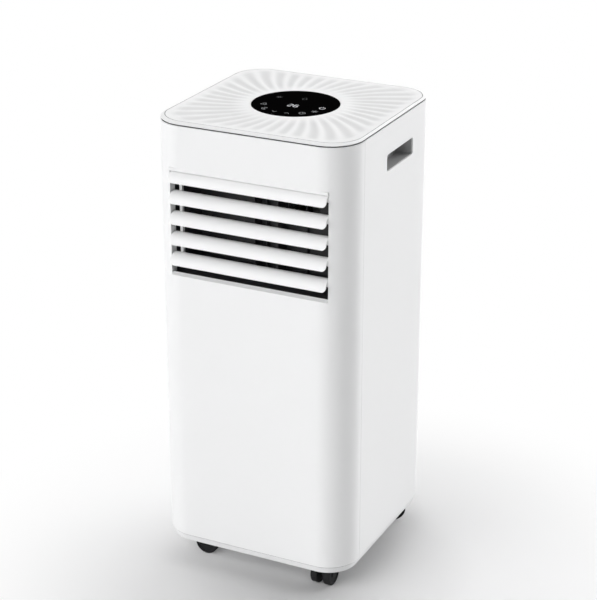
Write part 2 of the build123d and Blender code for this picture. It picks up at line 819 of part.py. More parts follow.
with BuildPart() as cord_inlet:
    with BuildSketch(xz_plane(rear_face)):
        with Locations(cord_place):
            Circle(cord_flange)
    extrude(amount=-cord_flange_thick)
    with BuildSketch(xz_plane(rear_face)):
        with Locations(cord_place):
            Circle(cord_neck)
    extrude(amount=wall + cord_nut_thick)
    with BuildSketch(xz_plane(rear_face - wall)):
        with Locations(cord_place):
            RegularPolygon(cord_nut, 6)
    extrude(amount=cord_nut_thick)
    with BuildSketch(xz_plane(rear_face + cord_flange_thick)):
        with Locations(cord_place):
            Circle(cord_bore)
    extrude(amount=cord_flange_thick + wall + cord_nut_thick, mode=Mode.SUBTRACT)
cord_inlet.part.label = "cord_inlet"
export_step(cord_inlet.part, "parts/cord_inlet.step")

with BuildPart() as casing_screws:
    with BuildSketch(xz_plane(rear_face)):
        with Locations((0, screw_middle)):
            with GridLocations(2 * screw_x, screw_high - screw_low, 2, 2):
                Circle(screw_head)
    extrude(amount=-screw_head_thick)
    with BuildSketch(xz_plane(rear_face)):
        with Locations((0, screw_middle)):
            with GridLocations(2 * screw_x, screw_high - screw_low, 2, 2):
                Circle(screw_shank)
    extrude(amount=screw_length)
casing_screws.part.label = "casing_screws"
export_step(casing_screws.part, "parts/casing_screws.step")

# ------------------------------------------------------------------ casters
with BuildPart() as caster_sockets:
    with BuildSketch(Plane.XY.offset(socket_bottom)):
        with GridLocations(2 * caster_x, 2 * caster_y, 2, 2):
            Circle(socket_flange)
    extrude(amount=floor_bottom - socket_bottom)
    with BuildSketch(Plane.XY.offset(floor_bottom)):
        with GridLocations(2 * caster_x, 2 * caster_y, 2, 2):
            Circle(socket_radius)
    extrude(amount=boss_top - floor_bottom)
    with BuildSketch(Plane.XY.offset(socket_bottom)):
        with GridLocations(2 * caster_x, 2 * caster_y, 2, 2):
            Circle(stem_radius + run_fit)
    extrude(amount=boss_top - socket_bottom, mode=Mode.SUBTRACT)
caster_sockets.part.label = "caster_sockets"
export_step(caster_sockets.part, "parts/caster_sockets.step")

for corner, heading in casters.items():
    ahead = Vector(cos(radians(heading)), sin(radians(heading)), 0)
    across = Vector(sin(radians(heading)), -cos(radians(heading)), 0)
    pivot = Vector(
        caster_x if "right" in corner else -caster_x, caster_y if "rear" in corner else -caster_y, 0)
    hub = pivot + ahead * trail + Vector(0, 0, wheel_radius)
    side_view = Plane(hub, x_dir=ahead, z_dir=across)
    half_width = web_width / 2 + wheel_gap + wheel_width
    with BuildPart() as caster_hood:
        with BuildSketch(side_view):
            Circle(axle_boss)
            with Locations((-trail, crown_top - crown_thick / 2 - wheel_radius)):
                Rectangle(2 * crown_radius, crown_thick)
            make_hull()
        extrude(amount=web_width / 2, both=True)
        with BuildSketch(side_view):
            Circle(wheel_radius + hood_gap + hood_thick)
            Circle(wheel_radius + hood_gap, mode=Mode.SUBTRACT)
            with Locations((0, hood_low - 2 * wheel_radius)):
                Rectangle(4 * wheel_radius, 4 * wheel_radius, mode=Mode.SUBTRACT)
            with Locations((hood_front + wheel_radius, 0)):
                Rectangle(2 * wheel_radius, 4 * wheel_radius, mode=Mode.SUBTRACT)
        extrude(amount=half_width, both=True)
        with BuildSketch(Plane(pivot + Vector(0, 0, crown_top), x_dir=ahead)):
            Circle(crown_radius)
        extrude(amount=-crown_thick)
        with BuildSketch(Plane(pivot + Vector(0, 0, crown_top), x_dir=ahead)):
            Circle(stem_radius)
        extrude(amount=stem_length)
        with BuildSketch(side_view):
            Circle(axle_radius + run_fit)
        extrude(amount=web_width, both=True, mode=Mode.SUBTRACT)
    caster_hood.part.label = f"caster_hood_{corner}"
    export_step(caster_hood.part, f"parts/caster_hood_{corner}.step")

    with BuildPart() as caster_wheels:
        for sign in (-1, 1):
            inner_face = side_view.offset(sign * (web_width / 2 + wheel_gap))
            outer_face = side_view.offset(sign * half_width)
            with BuildSketch(inner_face):
                Circle(wheel_radius)
            extrude(amount=sign * wheel_width)
            with BuildSketch(outer_face):
                Circle(wheel_radius - wheel_rim)
                Circle(axle_boss, mode=Mode.SUBTRACT)
            extrude(amount=-sign * wheel_recess, mode=Mode.SUBTRACT)
            with BuildSketch(inner_face):
                Circle(axle_radius)
            extrude(amount=sign * axle_reach, mode=Mode.SUBTRACT)
        rims = caster_wheels.edges().filter_by(lambda e: abs(e.length - 2 * pi * wheel_radius) < 0.5)
        chamfer(rims, length=wheel_edge)
    caster_wheels.part.label = f"caster_wheels_{corner}"
    export_step(caster_wheels.part, f"parts/caster_wheels_{corner}.step")

    with BuildPart() as caster_axle:
        with BuildSketch(side_view):
            Circle(axle_radius)
        extrude(amount=web_width / 2 + wheel_gap + axle_reach, both=True)
    caster_axle.part.label = f"caster_axle_{corner}"
    export_step(caster_axle.part, f"parts/caster_axle_{corner}.step")

# ------------------------------------------------------------------ air path
def volute(x, z, fan_radius, throat_width, throat_top, skin=0.0):
    """Spiral outline that widens from its tongue round to a straight throat, drawn in the open BuildLine."""
    first = tongue_angle + degrees(1.5 * skin / fan_radius)

    def spiral(angle):
        radius = fan_radius + tongue_gap + skin + volute_growth * (angle - tongue_angle) / (360 - tongue_angle)
        return (x + radius * cos(radians(angle)), z + radius * sin(radians(angle)))

    points = [spiral(first + (360 - first) * i / 10) for i in range(11)]
    right = points[-1][0]
    left = right - throat_width - 2 * skin
    Spline(*points)
    Polyline(points[-1], (right, throat_top), (left, throat_top), points[0])


def fan_scroll(x, z, fan_radius, front, depth, throat_width, throat_top, closed_top):
    """Moulded fan housing with an inlet ring on its rear face and a shaft hole in front."""
    with BuildPart() as scroll:
        with BuildSketch(xz_plane(front)):
            with BuildLine():
                volute(x, z, fan_radius, throat_width, throat_top, scroll_skin)
            make_face()
        extrude(amount=-depth)
        with BuildSketch(xz_plane(front + scroll_skin)):
            with BuildLine():
                volute(x, z, fan_radius, throat_width, throat_top + (-scroll_skin if closed_top else 0))
            make_face()
        extrude(amount=-(depth - 2 * scroll_skin), mode=Mode.SUBTRACT)
        with BuildSketch(xz_plane(front + depth)):
            with Locations((x, z)):
                Circle(fan_radius - inlet_margin)
        extrude(amount=scroll_skin, mode=Mode.SUBTRACT)
    return scroll.part


def blower_wheel(x, z, fan_radius, front, depth):
    """Forward-curved centrifugal wheel: back disc with hub, blades, and a ring round the inlet side."""
    with BuildPart() as wheel:
        with BuildSketch(xz_plane(front)):
            with Locations((x, z)):
                Circle(fan_radius)
        extrude(amount=-fan_disc)
        with BuildSketch(xz_plane(front)):
            with Locations((x, z)):
                with PolarLocations(fan_radius - fan_ring / 2, fan_blades):
                    Rectangle(fan_blade_chord, fan_blade_thick, rotation=fan_blade_angle)
                Circle(fan_radius, mode=Mode.INTERSECT)
        extrude(amount=-depth)
        with BuildSketch(xz_plane(front + depth - fan_disc)):
            with Locations((x, z)):
                Circle(fan_radius)
                Circle(fan_radius - fan_ring, mode=Mode.SUBTRACT)
        extrude(amount=-fan_disc)
        with BuildSketch(xz_plane(front)):
            with Locations((x, z)):
                Circle(fan_hub)
        extrude(amount=-depth / 2)
        with BuildSketch(xz_plane(front)):
            with Locations((x, z)):
                Circle(shaft_radius)
        extrude(amount=-depth / 2, mode=Mode.SUBTRACT)
    return wheel.part


# cold side: the motor stands on a spider in front of the inlet, between scroll and evaporator
cold_wheel_front = cold_scroll_front + scroll_skin + fan_side_gap
cold_wheel_depth = cold_scroll_depth - 2 * scroll_skin - 2 * fan_side_gap
cold_motor_front = cold_scroll_back + cold_motor_gap
cold_right = cold_fan_x + cold_fan_radius + tongue_gap + volute_growth
cold_left = cold_right - cold_throat_width

with BuildPart() as cold_scroll:
    add(fan_scroll(cold_fan_x, cold_fan_z, cold_fan_radius, cold_scroll_front, cold_scroll_depth,
                   cold_throat_width, cold_throat_top, True))
    with BuildSketch(xz_plane(cold_scroll_front)):
        with Locations(((cold_left + cold_right) / 2,
                        (cold_window_bottom + cold_throat_top - scroll_skin) / 2)):
            Rectangle(cold_throat_width - 2 * cold_window_margin,
                      cold_throat_top - scroll_skin - cold_window_bottom - 2 * cold_window_margin)
    extrude(amount=-scroll_skin, mode=Mode.SUBTRACT)
    # foot that stands on the water tray
    foot_depth = cold_scroll_depth - scroll_foot_set_in
    with BuildSketch(Plane.XY.offset(tray_top)):
        with Locations((cold_fan_x, (cold_scroll_front + cold_scroll_back) / 2)):
            Rectangle(scroll_foot, foot_depth)
            Rectangle(scroll_foot - 2 * scroll_skin, foot_depth - 2 * scroll_skin, mode=Mode.SUBTRACT)
    extrude(until=Until.NEXT)
cold_scroll.part.label = "cold_scroll"
export_step(cold_scroll.part, "parts/cold_scroll.step")

cold_wheel = blower_wheel(cold_fan_x, cold_fan_z, cold_fan_radius, cold_wheel_front, cold_wheel_depth)
cold_wheel.label = "cold_wheel"
export_step(cold_wheel, "parts/cold_wheel.step")

with BuildPart() as cold_shaft:
    with BuildSketch(xz_plane(cold_wheel_front)):
        with Locations((cold_fan_x, cold_fan_z)):
            Circle(shaft_radius)
    extrude(amount=-(cold_motor_front + cold_motor_length / 2 - cold_wheel_front))
cold_shaft.part.label = "cold_shaft"
export_step(cold_shaft.part, "parts/cold_shaft.step")

with BuildPart() as cold_motor:
    spider_radius = cold_fan_radius - inlet_margin + spider_post + spider_clear
    with BuildSketch(xz_plane(cold_motor_front)):
        with Locations((cold_fan_x, cold_fan_z)):
            Circle(cold_motor_radius)
    extrude(amount=-cold_motor_length)
    fillet(cold_motor.edges().group_by(Axis.Y)[-1], radius=motor_edge)
    with BuildSketch(xz_plane(cold_motor_front)):
        with Locations((cold_fan_x, cold_fan_z)):
            with PolarLocations(spider_radius / 2 + cold_motor_radius / 4, 3, start_angle=90):
                Rectangle(spider_radius - cold_motor_radius / 2, 2 * spider_post)
            with PolarLocations(spider_radius, 3, start_angle=90):
                Circle(spider_post)
    extrude(amount=-fan_disc)
    with BuildSketch(xz_plane(cold_motor_front)):
        with Locations((cold_fan_x, cold_fan_z)):
            with PolarLocations(spider_radius, 3, start_angle=90):
                Circle(spider_post)
    extrude(amount=cold_motor_gap)
    with BuildSketch(xz_plane(cold_motor_front)):
        with Locations((cold_fan_x, cold_fan_z)):
            Circle(shaft_radius + run_fit)
    extrude(amount=-cold_motor_length / 2 - shaft_end_gap, mode=Mode.SUBTRACT)
cold_motor.part.label = "cold_motor"
export_step(cold_motor.part, "parts/cold_motor.step")

with BuildPart() as outlet_duct:
    with BuildSketch(xz_plane(flange_back)):
        with Locations((0, outlet_middle)):
            Rectangle(outlet_width + 2 * duct_wall, outlet_height + 2 * duct_wall)
    extrude(amount=-(cold_scroll_front - flange_back))
    with BuildSketch(xz_plane(flange_back)):
        with Locations((0, outlet_middle)):
            Rectangle(outlet_width, outlet_height)
    extrude(amount=-(cold_scroll_front - duct_wall - flange_back), mode=Mode.SUBTRACT)
    with BuildSketch(xz_plane(cold_scroll_front)):
        with Locations(((cold_left + cold_right) / 2,
                        (cold_window_bottom + cold_throat_top - scroll_skin) / 2)):
            Rectangle(cold_throat_width - 2 * cold_window_margin,
                      cold_throat_top - scroll_skin - cold_window_bottom - 2 * cold_window_margin)
    extrude(amount=duct_wall, mode=Mode.SUBTRACT)
outlet_duct.part.label = "outlet_duct"
export_step(outlet_duct.part, "parts/outlet_duct.step")

# hot side: scroll, wheel and motor blow up into the exhaust chamber
hot_wheel_front = hot_scroll_front + scroll_skin + fan_side_gap
hot_wheel_depth = hot_scroll_depth - 2 * scroll_skin - 2 * fan_side_gap
hot_right = hot_fan_x + hot_fan_radius + tongue_gap + volute_growth
hot_left = hot_right - hot_throat_width

with BuildPart() as hot_scroll:
    add(fan_scroll(hot_fan_x, hot_fan_z, hot_fan_radius, hot_scroll_front, hot_scroll_depth,
                   hot_throat_width, chamber_bottom, False))
    with BuildSketch(xz_plane(hot_scroll_front)):
        with Locations((hot_fan_x, hot_fan_z)):
            Circle(shaft_hole)
    extrude(amount=-scroll_skin, mode=Mode.SUBTRACT)
    foot_depth = hot_scroll_depth - scroll_foot_set_in
    with BuildSketch(Plane.XY.offset(floor_top)):
        with Locations((hot_fan_x, (hot_scroll_front + hot_scroll_back) / 2)):
            Rectangle(scroll_foot, foot_depth)
            Rectangle(scroll_foot - 2 * scroll_skin, foot_depth - 2 * scroll_skin, mode=Mode.SUBTRACT)
    extrude(until=Until.NEXT)
hot_scroll.part.label = "hot_scroll"
export_step(hot_scroll.part, "parts/hot_scroll.step")

hot_wheel = blower_wheel(hot_fan_x, hot_fan_z, hot_fan_radius, hot_wheel_front, hot_wheel_depth)
hot_wheel.label = "hot_wheel"
export_step(hot_wheel, "parts/hot_wheel.step")

with BuildPart() as hot_motor:
    with BuildSketch(xz_plane(hot_scroll_front)):
        with Locations((hot_fan_x, hot_fan_z)):
            Circle(hot_motor_radius)
    extrude(amount=hot_motor_length)
    fillet(hot_motor.edges().group_by(Axis.Y)[0], radius=motor_edge)
    with BuildSketch(xz_plane(hot_scroll_front)):
        with Locations((hot_fan_x, hot_fan_z)):
            Circle(shaft_radius + run_fit)
    extrude(amount=hot_motor_length / 2, mode=Mode.SUBTRACT)
hot_motor.part.label = "hot_motor"
export_step(hot_motor.part, "parts/hot_motor.step")

with BuildPart() as hot_shaft:
    with BuildSketch(xz_plane(hot_scroll_front - hot_motor_length / 2 + shaft_end_gap)):
        with Locations((hot_fan_x, hot_fan_z)):
            Circle(shaft_radius)
    extrude(amount=-(hot_wheel_front + hot_wheel_depth / 2 - hot_scroll_front + hot_motor_length / 2
                     - shaft_end_gap))
hot_shaft.part.label = "hot_shaft"
export_step(hot_shaft.part, "parts/hot_shaft.step")

with BuildPart() as exhaust_duct:
    chamber_right = hot_right + scroll_skin
    chamber_middle = ((chamber_left + chamber_right) / 2, (hot_scroll_front + hot_scroll_back) / 2)
    with BuildSketch(Plane.XY.offset(chamber_bottom)):
        with Locations(chamber_middle):
            Rectangle(chamber_right - chamber_left, hot_scroll_depth)
    extrude(amount=chamber_top - chamber_bottom)
    with BuildSketch(xz_plane(hot_scroll_back)):
        with Locations((0, exhaust_z)):
            Circle(spigot_bore + spigot_wall)
    extrude(amount=-(collar_front - hot_scroll_back))
    with BuildSketch(Plane.XY.offset(chamber_bottom + chamber_wall)):
        with Locations(chamber_middle):
            Rectangle(chamber_right - chamber_left - 2 * chamber_wall, hot_scroll_depth - 2 * chamber_wall)
    extrude(amount=chamber_top - chamber_bottom - 2 * chamber_wall, mode=Mode.SUBTRACT)
    with BuildSketch(Plane.XY.offset(chamber_bottom)):
        with Locations(((hot_left + hot_right) / 2, chamber_middle[1])):
            Rectangle(hot_throat_width, hot_scroll_depth - 2 * scroll_skin)
    extrude(amount=chamber_wall, mode=Mode.SUBTRACT)
    with BuildSketch(xz_plane(collar_front)):
        with Locations((0, exhaust_z)):
            Circle(spigot_bore)
    extrude(amount=collar_front - hot_scroll_back + chamber_wall, mode=Mode.SUBTRACT)
exhaust_duct.part.label = "exhaust_duct"
export_step(exhaust_duct.part, "parts/exhaust_duct.step")

# ------------------------------------------------------------------ heat exchangers
def coil(bottom, height):
    """Fin-and-tube exchanger: a slotted fin pack between two end plates."""
    with BuildPart() as pack:
        with BuildSketch(Plane.XY.offset(bottom)):
            with Locations((0, coil_middle)):
                Rectangle(coil_width - 2 * end_plate, coil_depth)
        extrude(amount=height)
        with BuildSketch(Plane.XY.offset(bottom)):
            with Locations((0, coil_middle)):
                with GridLocations(coil_width - end_plate, 1, 2, 1):
                    Rectangle(end_plate, coil_depth + 2 * end_plate_proud)
        extrude(amount=height)
        pitch = (coil_width - 2 * end_plate) / fin_count
        with BuildSketch(xz_plane(coil_back)):
            with Locations((0, bottom + height / 2)):
                with GridLocations(pitch, 1, fin_count, 1):
                    Rectangle(fin_slot, height)
        extrude(amount=fin_slot_depth, mode=Mode.SUBTRACT)
    return pack.part


evaporator_coil = coil(tray_top, evaporator_height)
evaporator_coil.label = "evaporator_coil"
export_step(evaporator_coil, "parts/evaporator_coil.step")

condenser_coil = coil(condenser_bottom, condenser_height)
condenser_coil.label = "condenser_coil"
export_step(condenser_coil, "parts/condenser_coil.step")

with BuildPart() as coil_bends:
    plate = coil_width / 2
    for bottom, height in ((tray_top, evaporator_height), (condenser_bottom, condenser_height)):
        for i in range(int((height - 2 * bend_radius) / bend_pitch)):
            low = bottom + bend_radius + bend_pitch * (i + 0.25)
            middle = low + bend_radius
            high = middle + bend_radius
            with BuildLine() as bend:
                Line((plate, coil_middle, low), (plate + tube_stub, coil_middle, low))
                ThreePointArc((plate + tube_stub, coil_middle, low),
                              (plate + tube_stub + bend_radius, coil_middle, middle),
                              (plate + tube_stub, coil_middle, high))
                Line((plate + tube_stub, coil_middle, high), (plate, coil_middle, high))
            with BuildSketch(Plane((plate, coil_middle, low), z_dir=(1, 0, 0))):
                Circle(bend_tube)
            sweep(path=bend.wire())
coil_bends.part.label = "coil_bends"
export_step(coil_bends.part, "parts/coil_bends.step")

# ------------------------------------------------------------------ water tray between the two chambers
with BuildPart() as water_tray:
    with BuildSketch(Plane.XY.offset(tray_bottom)):
        outline(inner_inset)
    extrude(amount=tray_thick + tray_rim)
    with BuildSketch(Plane.XY.offset(tray_top)):
        outline(inner_inset + wall)
    extrude(amount=tray_rim, mode=Mode.SUBTRACT)
    with BuildSketch(Plane.XY.offset(tray_bottom)):
        with Locations((liquid_x, liquid_y), (suction_x, suction_y)):
            Circle(pipe_radius + fit_gap)
    extrude(amount=tray_thick, mode=Mode.SUBTRACT)
    with BuildSketch(xz_plane(rear_face)):
        with Locations(upper_spout):
            Circle(spout_bore)
    extrude(amount=inner_inset + wall + 1, mode=Mode.SUBTRACT)
water_tray.part.label = "water_tray"
export_step(water_tray.part, "parts/water_tray.step")

# ------------------------------------------------------------------ splash wheel and its motor
with BuildPart() as splash_wheel:
    with BuildSketch(xz_plane(splash_y)):
        with Locations((splash_x, splash_z)):
            Circle(splash_body)
            with PolarLocations(splash_radius - splash_tooth[0] / 2, splash_teeth):
                Rectangle(*splash_tooth)
    extrude(amount=-splash_thick)
    with BuildSketch(xz_plane(splash_y)):
        with Locations((splash_x, splash_z)):
            Circle(splash_shaft)
    extrude(amount=splash_motor_length / 2 + splash_gap)
splash_wheel.part.label = "splash_wheel"
export_step(splash_wheel.part, "parts/splash_wheel.step")

with BuildPart() as splash_motor:
    with BuildSketch(xz_plane(splash_y - splash_gap)):
        with Locations((splash_x, splash_z)):
            Circle(splash_motor_radius)
    extrude(amount=splash_motor_length)
    bracket_y = splash_y - splash_gap - splash_motor_length / 2
    with BuildSketch(Plane.XY.offset(floor_top)):
        with Locations((splash_x, bracket_y)):
            Rectangle(bracket_width, bracket_thick)
    extrude(amount=splash_z - floor_top)
    with BuildSketch(Plane.XY.offset(floor_top)):
        with Locations((splash_x, bracket_y)):
            Rectangle(bracket_width, splash_motor_length)
    extrude(amount=bracket_thick)
    with BuildSketch(xz_plane(splash_y - splash_gap)):
        with Locations((splash_x, splash_z)):
            Circle(splash_shaft + run_fit)
    extrude(amount=splash_motor_length / 2 + shaft_end_gap, mode=Mode.SUBTRACT)
splash_motor.part.label = "splash_motor"
export_step(splash_motor.part, "parts/splash_motor.step")

# ------------------------------------------------------------------ compressor and accumulator
with BuildPart() as compressor:
    with BuildSketch(Plane.XY.offset(floor_top + grommet_height)):
        with Locations((compressor_x, compressor_y)):
            with PolarLocations(foot_reach, 3, start_angle=90):
                Circle(foot_pad)
        make_hull()
    extrude(amount=foot_thick)
    with BuildSketch(Plane.XY.offset(foot_top)):
        with Locations((compressor_x, compressor_y)):
            Circle(compressor_radius)
    extrude(amount=compressor_height)
    fillet(compressor.edges().group_by(Axis.Z)[-1], radius=compressor_dome)
    with BuildSketch(Plane.XY.offset(floor_top)):
        with Locations((compressor_x, compressor_y)):
            with PolarLocations(foot_reach, 3, start_angle=90):
                Circle(grommet_radius / 2)
    extrude(amount=grommet_height + foot_thick, mode=Mode.SUBTRACT)
compressor.part.label = "compressor"
export_step(compressor.part, "parts/compressor.step")

with BuildPart() as compressor_grommets:
    with BuildSketch(Plane.XY.offset(floor_top)):
        with Locations((compressor_x, compressor_y)):
            with PolarLocations(foot_reach, 3, start_angle=90):
                Circle(grommet_radius)
    extrude(amount=grommet_height)
    with BuildSketch(Plane.XY.offset(floor_top)):
        with Locations((compressor_x, compressor_y)):
            with PolarLocations(foot_reach, 3, start_angle=90):
                Circle(grommet_radius / 2)
    extrude(amount=grommet_height + foot_thick + grommet_tip)
compressor_grommets.part.label = "compressor_grommets"
export_step(compressor_grommets.part, "parts/compressor_grommets.step")

with BuildPart() as accumulator:
    with BuildSketch(Plane.XY.offset(accumulator_bottom)):
        with Locations((accumulator_x, accumulator_y)):
            Circle(accumulator_radius)
    extrude(amount=accumulator_height)
    fillet(accumulator.edges().filter_by(GeomType.CIRCLE), radius=accumulator_round)
    strap_middle = (
        compressor_x + (compressor_radius + accumulator_gap / 2) * cos(radians(accumulator_angle)),
        compressor_y + (compressor_radius + accumulator_gap / 2) * sin(radians(accumulator_angle)))
    with BuildSketch(Plane.XY.offset(accumulator_bottom + (accumulator_height - strap_height) / 2)):
        with Locations(strap_middle):
            Rectangle(2 * accumulator_gap, strap_width, rotation=accumulator_angle)
        with Locations((compressor_x, compressor_y)):
            Circle(compressor_radius, mode=Mode.SUBTRACT)
    extrude(amount=strap_height)
accumulator.part.label = "accumulator"
export_step(accumulator.part, "parts/accumulator.step")

# ------------------------------------------------------------------ refrigerant pipes
plate = -coil_width / 2
discharge_z = compressor_top + discharge_rise
liquid_z = tray_top + liquid_rise
suction_z = tray_top + suction_rise
cross_z = tray_bottom - cross_drop
pipe_routes = (
    # discharge, from the compressor's crown to the top of the condenser
    ((compressor_x, compressor_y, compressor_top),
     (compressor_x, compressor_y, discharge_z),
     (discharge_x, compressor_y, discharge_z),
     (discharge_x, coil_middle, discharge_z),
     (discharge_x, coil_middle, condenser_top - port_set_in),
     (plate, coil_middle, condenser_top - port_set_in)),
    # liquid, from the foot of the condenser up to the evaporator
    ((plate, liquid_y, condenser_bottom + port_set_in),
     (liquid_x, liquid_y, condenser_bottom + port_set_in),
     (liquid_x, liquid_y, liquid_z),
     (plate, liquid_y, liquid_z)),
    # suction, from the evaporator down to the accumulator
    ((plate, coil_middle, suction_z),
     (suction_x, coil_middle, suction_z),
     (suction_x, suction_y, suction_z),
     (suction_x, suction_y, cross_z),
     (suction_x, accumulator_y, cross_z),
     (accumulator_x, accumulator_y, cross_z),
     (accumulator_x, accumulator_y, accumulator_top)),
)
with BuildPart() as refrigerant_pipes:
    for route in pipe_routes:
        with BuildLine():
            FilletPolyline(*route, radius=pipe_bend)
        start_direction = Vector(*route[1]) - Vector(*route[0])
        with BuildSketch(Plane(route[0], z_dir=start_direction)):
            Circle(pipe_radius)
        sweep()
refrigerant_pipes.part.label = "refrigerant_pipes"
export_step(refrigerant_pipes.part, "parts/refrigerant_pipes.step")

# ------------------------------------------------------------------ electrics on top of the outlet duct
with BuildPart() as control_box:
    with BuildSketch(Plane.XY.offset(duct_top)):
        with Locations((box_x, box_y)):
            RectangleRounded(box_width, box_depth, box_corner)
    extrude(amount=box_height)
    with BuildSketch(Plane.XY.offset(duct_top + box_height)):
        with Locations((box_x, box_y)):
            RectangleRounded(box_width + 2 * box_lip, box_depth + 2 * box_lip, box_corner + box_lip)
    extrude(amount=-box_lip)
control_box.part.label = "control_box"
export_step(control_box.part, "parts/control_box.step")

with BuildPart() as run_capacitor:
    with BuildSketch(Plane.XY.offset(duct_top)):
        with Locations((capacitor_x, box_y)):
            Circle(capacitor_radius)
    extrude(amount=capacitor_height)
    chamfer(run_capacitor.edges().group_by(Axis.Z)[-1], length=capacitor_edge)
run_capacitor.part.label = "run_capacitor"
export_step(run_capacitor.part, "parts/run_capacitor.step")
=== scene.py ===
"""Finishes, small parts and studio of a portable air conditioner, built round its packed frame."""

import json
import math

import bmesh
import bpy
from bpy.props import FloatProperty, FloatVectorProperty, IntProperty, PointerProperty
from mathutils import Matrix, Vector

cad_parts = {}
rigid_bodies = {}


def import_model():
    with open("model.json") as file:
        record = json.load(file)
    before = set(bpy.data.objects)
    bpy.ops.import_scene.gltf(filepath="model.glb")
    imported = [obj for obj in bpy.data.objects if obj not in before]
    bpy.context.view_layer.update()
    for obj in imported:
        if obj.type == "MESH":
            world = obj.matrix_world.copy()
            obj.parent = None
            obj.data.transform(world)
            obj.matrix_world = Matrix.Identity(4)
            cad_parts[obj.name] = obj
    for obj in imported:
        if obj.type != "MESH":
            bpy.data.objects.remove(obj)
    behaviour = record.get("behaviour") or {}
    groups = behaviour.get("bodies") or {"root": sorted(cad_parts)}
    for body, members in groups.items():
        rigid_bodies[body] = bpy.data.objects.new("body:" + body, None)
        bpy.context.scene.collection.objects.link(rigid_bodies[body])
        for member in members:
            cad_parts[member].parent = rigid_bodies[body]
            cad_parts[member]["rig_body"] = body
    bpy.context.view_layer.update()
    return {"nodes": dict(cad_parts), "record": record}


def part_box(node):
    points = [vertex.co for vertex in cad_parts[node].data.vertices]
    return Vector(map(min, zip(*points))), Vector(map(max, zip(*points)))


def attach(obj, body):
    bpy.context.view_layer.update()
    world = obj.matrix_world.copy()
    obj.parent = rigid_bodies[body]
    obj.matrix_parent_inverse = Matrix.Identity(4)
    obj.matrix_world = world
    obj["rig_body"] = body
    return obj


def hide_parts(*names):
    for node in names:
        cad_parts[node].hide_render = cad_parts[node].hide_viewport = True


bl_info = {
    "name": "Portable air conditioner",
    "version": (1, 0, 0),
    "blender": (4, 5, 0),
    "location": "3D View > Sidebar > Air conditioner",
    "description": "Dresses the packed frame of a portable air conditioner and sets its studio",
    "category": "Object",
}

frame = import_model()
MM = 0.001
LID_LOW, LID_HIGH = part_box("top_cover")
DISC_LOW, DISC_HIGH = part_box("control_disc")
CORNER = 48 * MM  # radius of the casing's upright corners
SEAM_Y = -99.95  # middle of the joint between the front panel and the side panels, mm
REAR_SEAM_X = 108.75  # middle of the joints beside the rear panel, mm
SHELL_LOW, SHELL_HIGH = 46, 684  # ends of the upright joints, mm
FINISHES = {}
SLOT_OF = {part["node"]: part["material_slot"] for part in frame["record"]["subparts"]}


# ---------------------------------------------------------------- settings
class LidSettings(bpy.types.PropertyGroup):
    """Sizes of the fluted lid."""

    flutes: IntProperty(name="Flutes", description="Flutes round the lid", default=40, min=8)
    depth: FloatProperty(
        name="Depth", description="Depth of a flute", default=0.0012, unit="LENGTH", precision=4)
    start: FloatProperty(
        name="Start", description="Radius where the flutes begin", default=0.069, unit="LENGTH", precision=4)
    swirl: FloatProperty(
        name="Swirl", description="Turn of a flute for each metre of radius", default=math.radians(-97.0),
        unit="ROTATION")
    first: FloatProperty(
        name="First ridge", description="Angle of one ridge at the start", default=math.radians(2.17),
        unit="ROTATION")
    margin: FloatProperty(
        name="Margin", description="Plain border inside the lid's edge", default=0.007, unit="LENGTH",
        precision=4)
    corner: FloatProperty(
        name="Corner", description="Radius of the lid's corners seen from above", default=CORNER,
        unit="LENGTH", precision=4)


class PanelSettings(bpy.types.PropertyGroup):
    """Sizes of the marks printed behind the touch panel."""

    stroke: FloatProperty(
        name="Stroke", description="Width of a mark's lines", default=0.0007, unit="LENGTH", precision=5)
    icon: FloatProperty(
        name="Icon", description="Height of a key's icon", default=0.0100, unit="LENGTH", precision=4)
    digit: FloatProperty(
        name="Digit", description="Height of a display digit", default=0.0098, unit="LENGTH", precision=4)
    reading: IntProperty(name="Reading", description="Number on the display", default=26, min=0, max=99)
    glow: FloatProperty(name="Glow", description="Brightness of the display", default=0.55, min=0.0)


class CoolingSettings(bpy.types.PropertyGroup):
    """Sizes of the fin packs and of the filter's net."""

    fin_pitch: FloatProperty(
        name="Fin pitch", description="Distance between two fins", default=0.0022, unit="LENGTH", precision=4)
    fin_thickness: FloatProperty(
        name="Fin thickness", description="Thickness of a fin", default=0.0003, unit="LENGTH", precision=5)
    net_pitch: FloatProperty(
        name="Net pitch", description="Distance between two strands", default=0.0030, unit="LENGTH",
        precision=4)
    strand: FloatProperty(
        name="Strand", description="Thickness of a strand", default=0.0005, unit="LENGTH", precision=5)


class FinishSettings(bpy.types.PropertyGroup):
    """Colours of the moulded parts."""

    casing: FloatVectorProperty(
        name="Casing", description="White of the casing", default=(0.87, 0.873, 0.876), subtype="COLOR")
    # The lid's white was set together with the painted shade of its hollows, so its ridges come out lighter
    # than the casing.
    lid: FloatVectorProperty(
        name="Lid", description="White of the lid", default=(0.945, 0.947, 0.95), subtype="COLOR")
    # The louvres' white is lighter than the casing's so that the blades stay bright in the outlet's shade:
    # partly painted light.
    louvre: FloatVectorProperty(
        name="Louvres", description="White of the louvre blades", default=(0.92, 0.922, 0.924),
        subtype="COLOR")
    base: FloatVectorProperty(
        name="Base", description="White of the base", default=(0.80, 0.803, 0.806), subtype="COLOR")
    grip: FloatVectorProperty(
        name="Grips", description="Grey of the hand grips", default=(0.39, 0.392, 0.396), subtype="COLOR")
    duct: FloatVectorProperty(
        name="Duct", description="Grey inside the outlet", default=(0.24, 0.241, 0.244),
        subtype="COLOR")


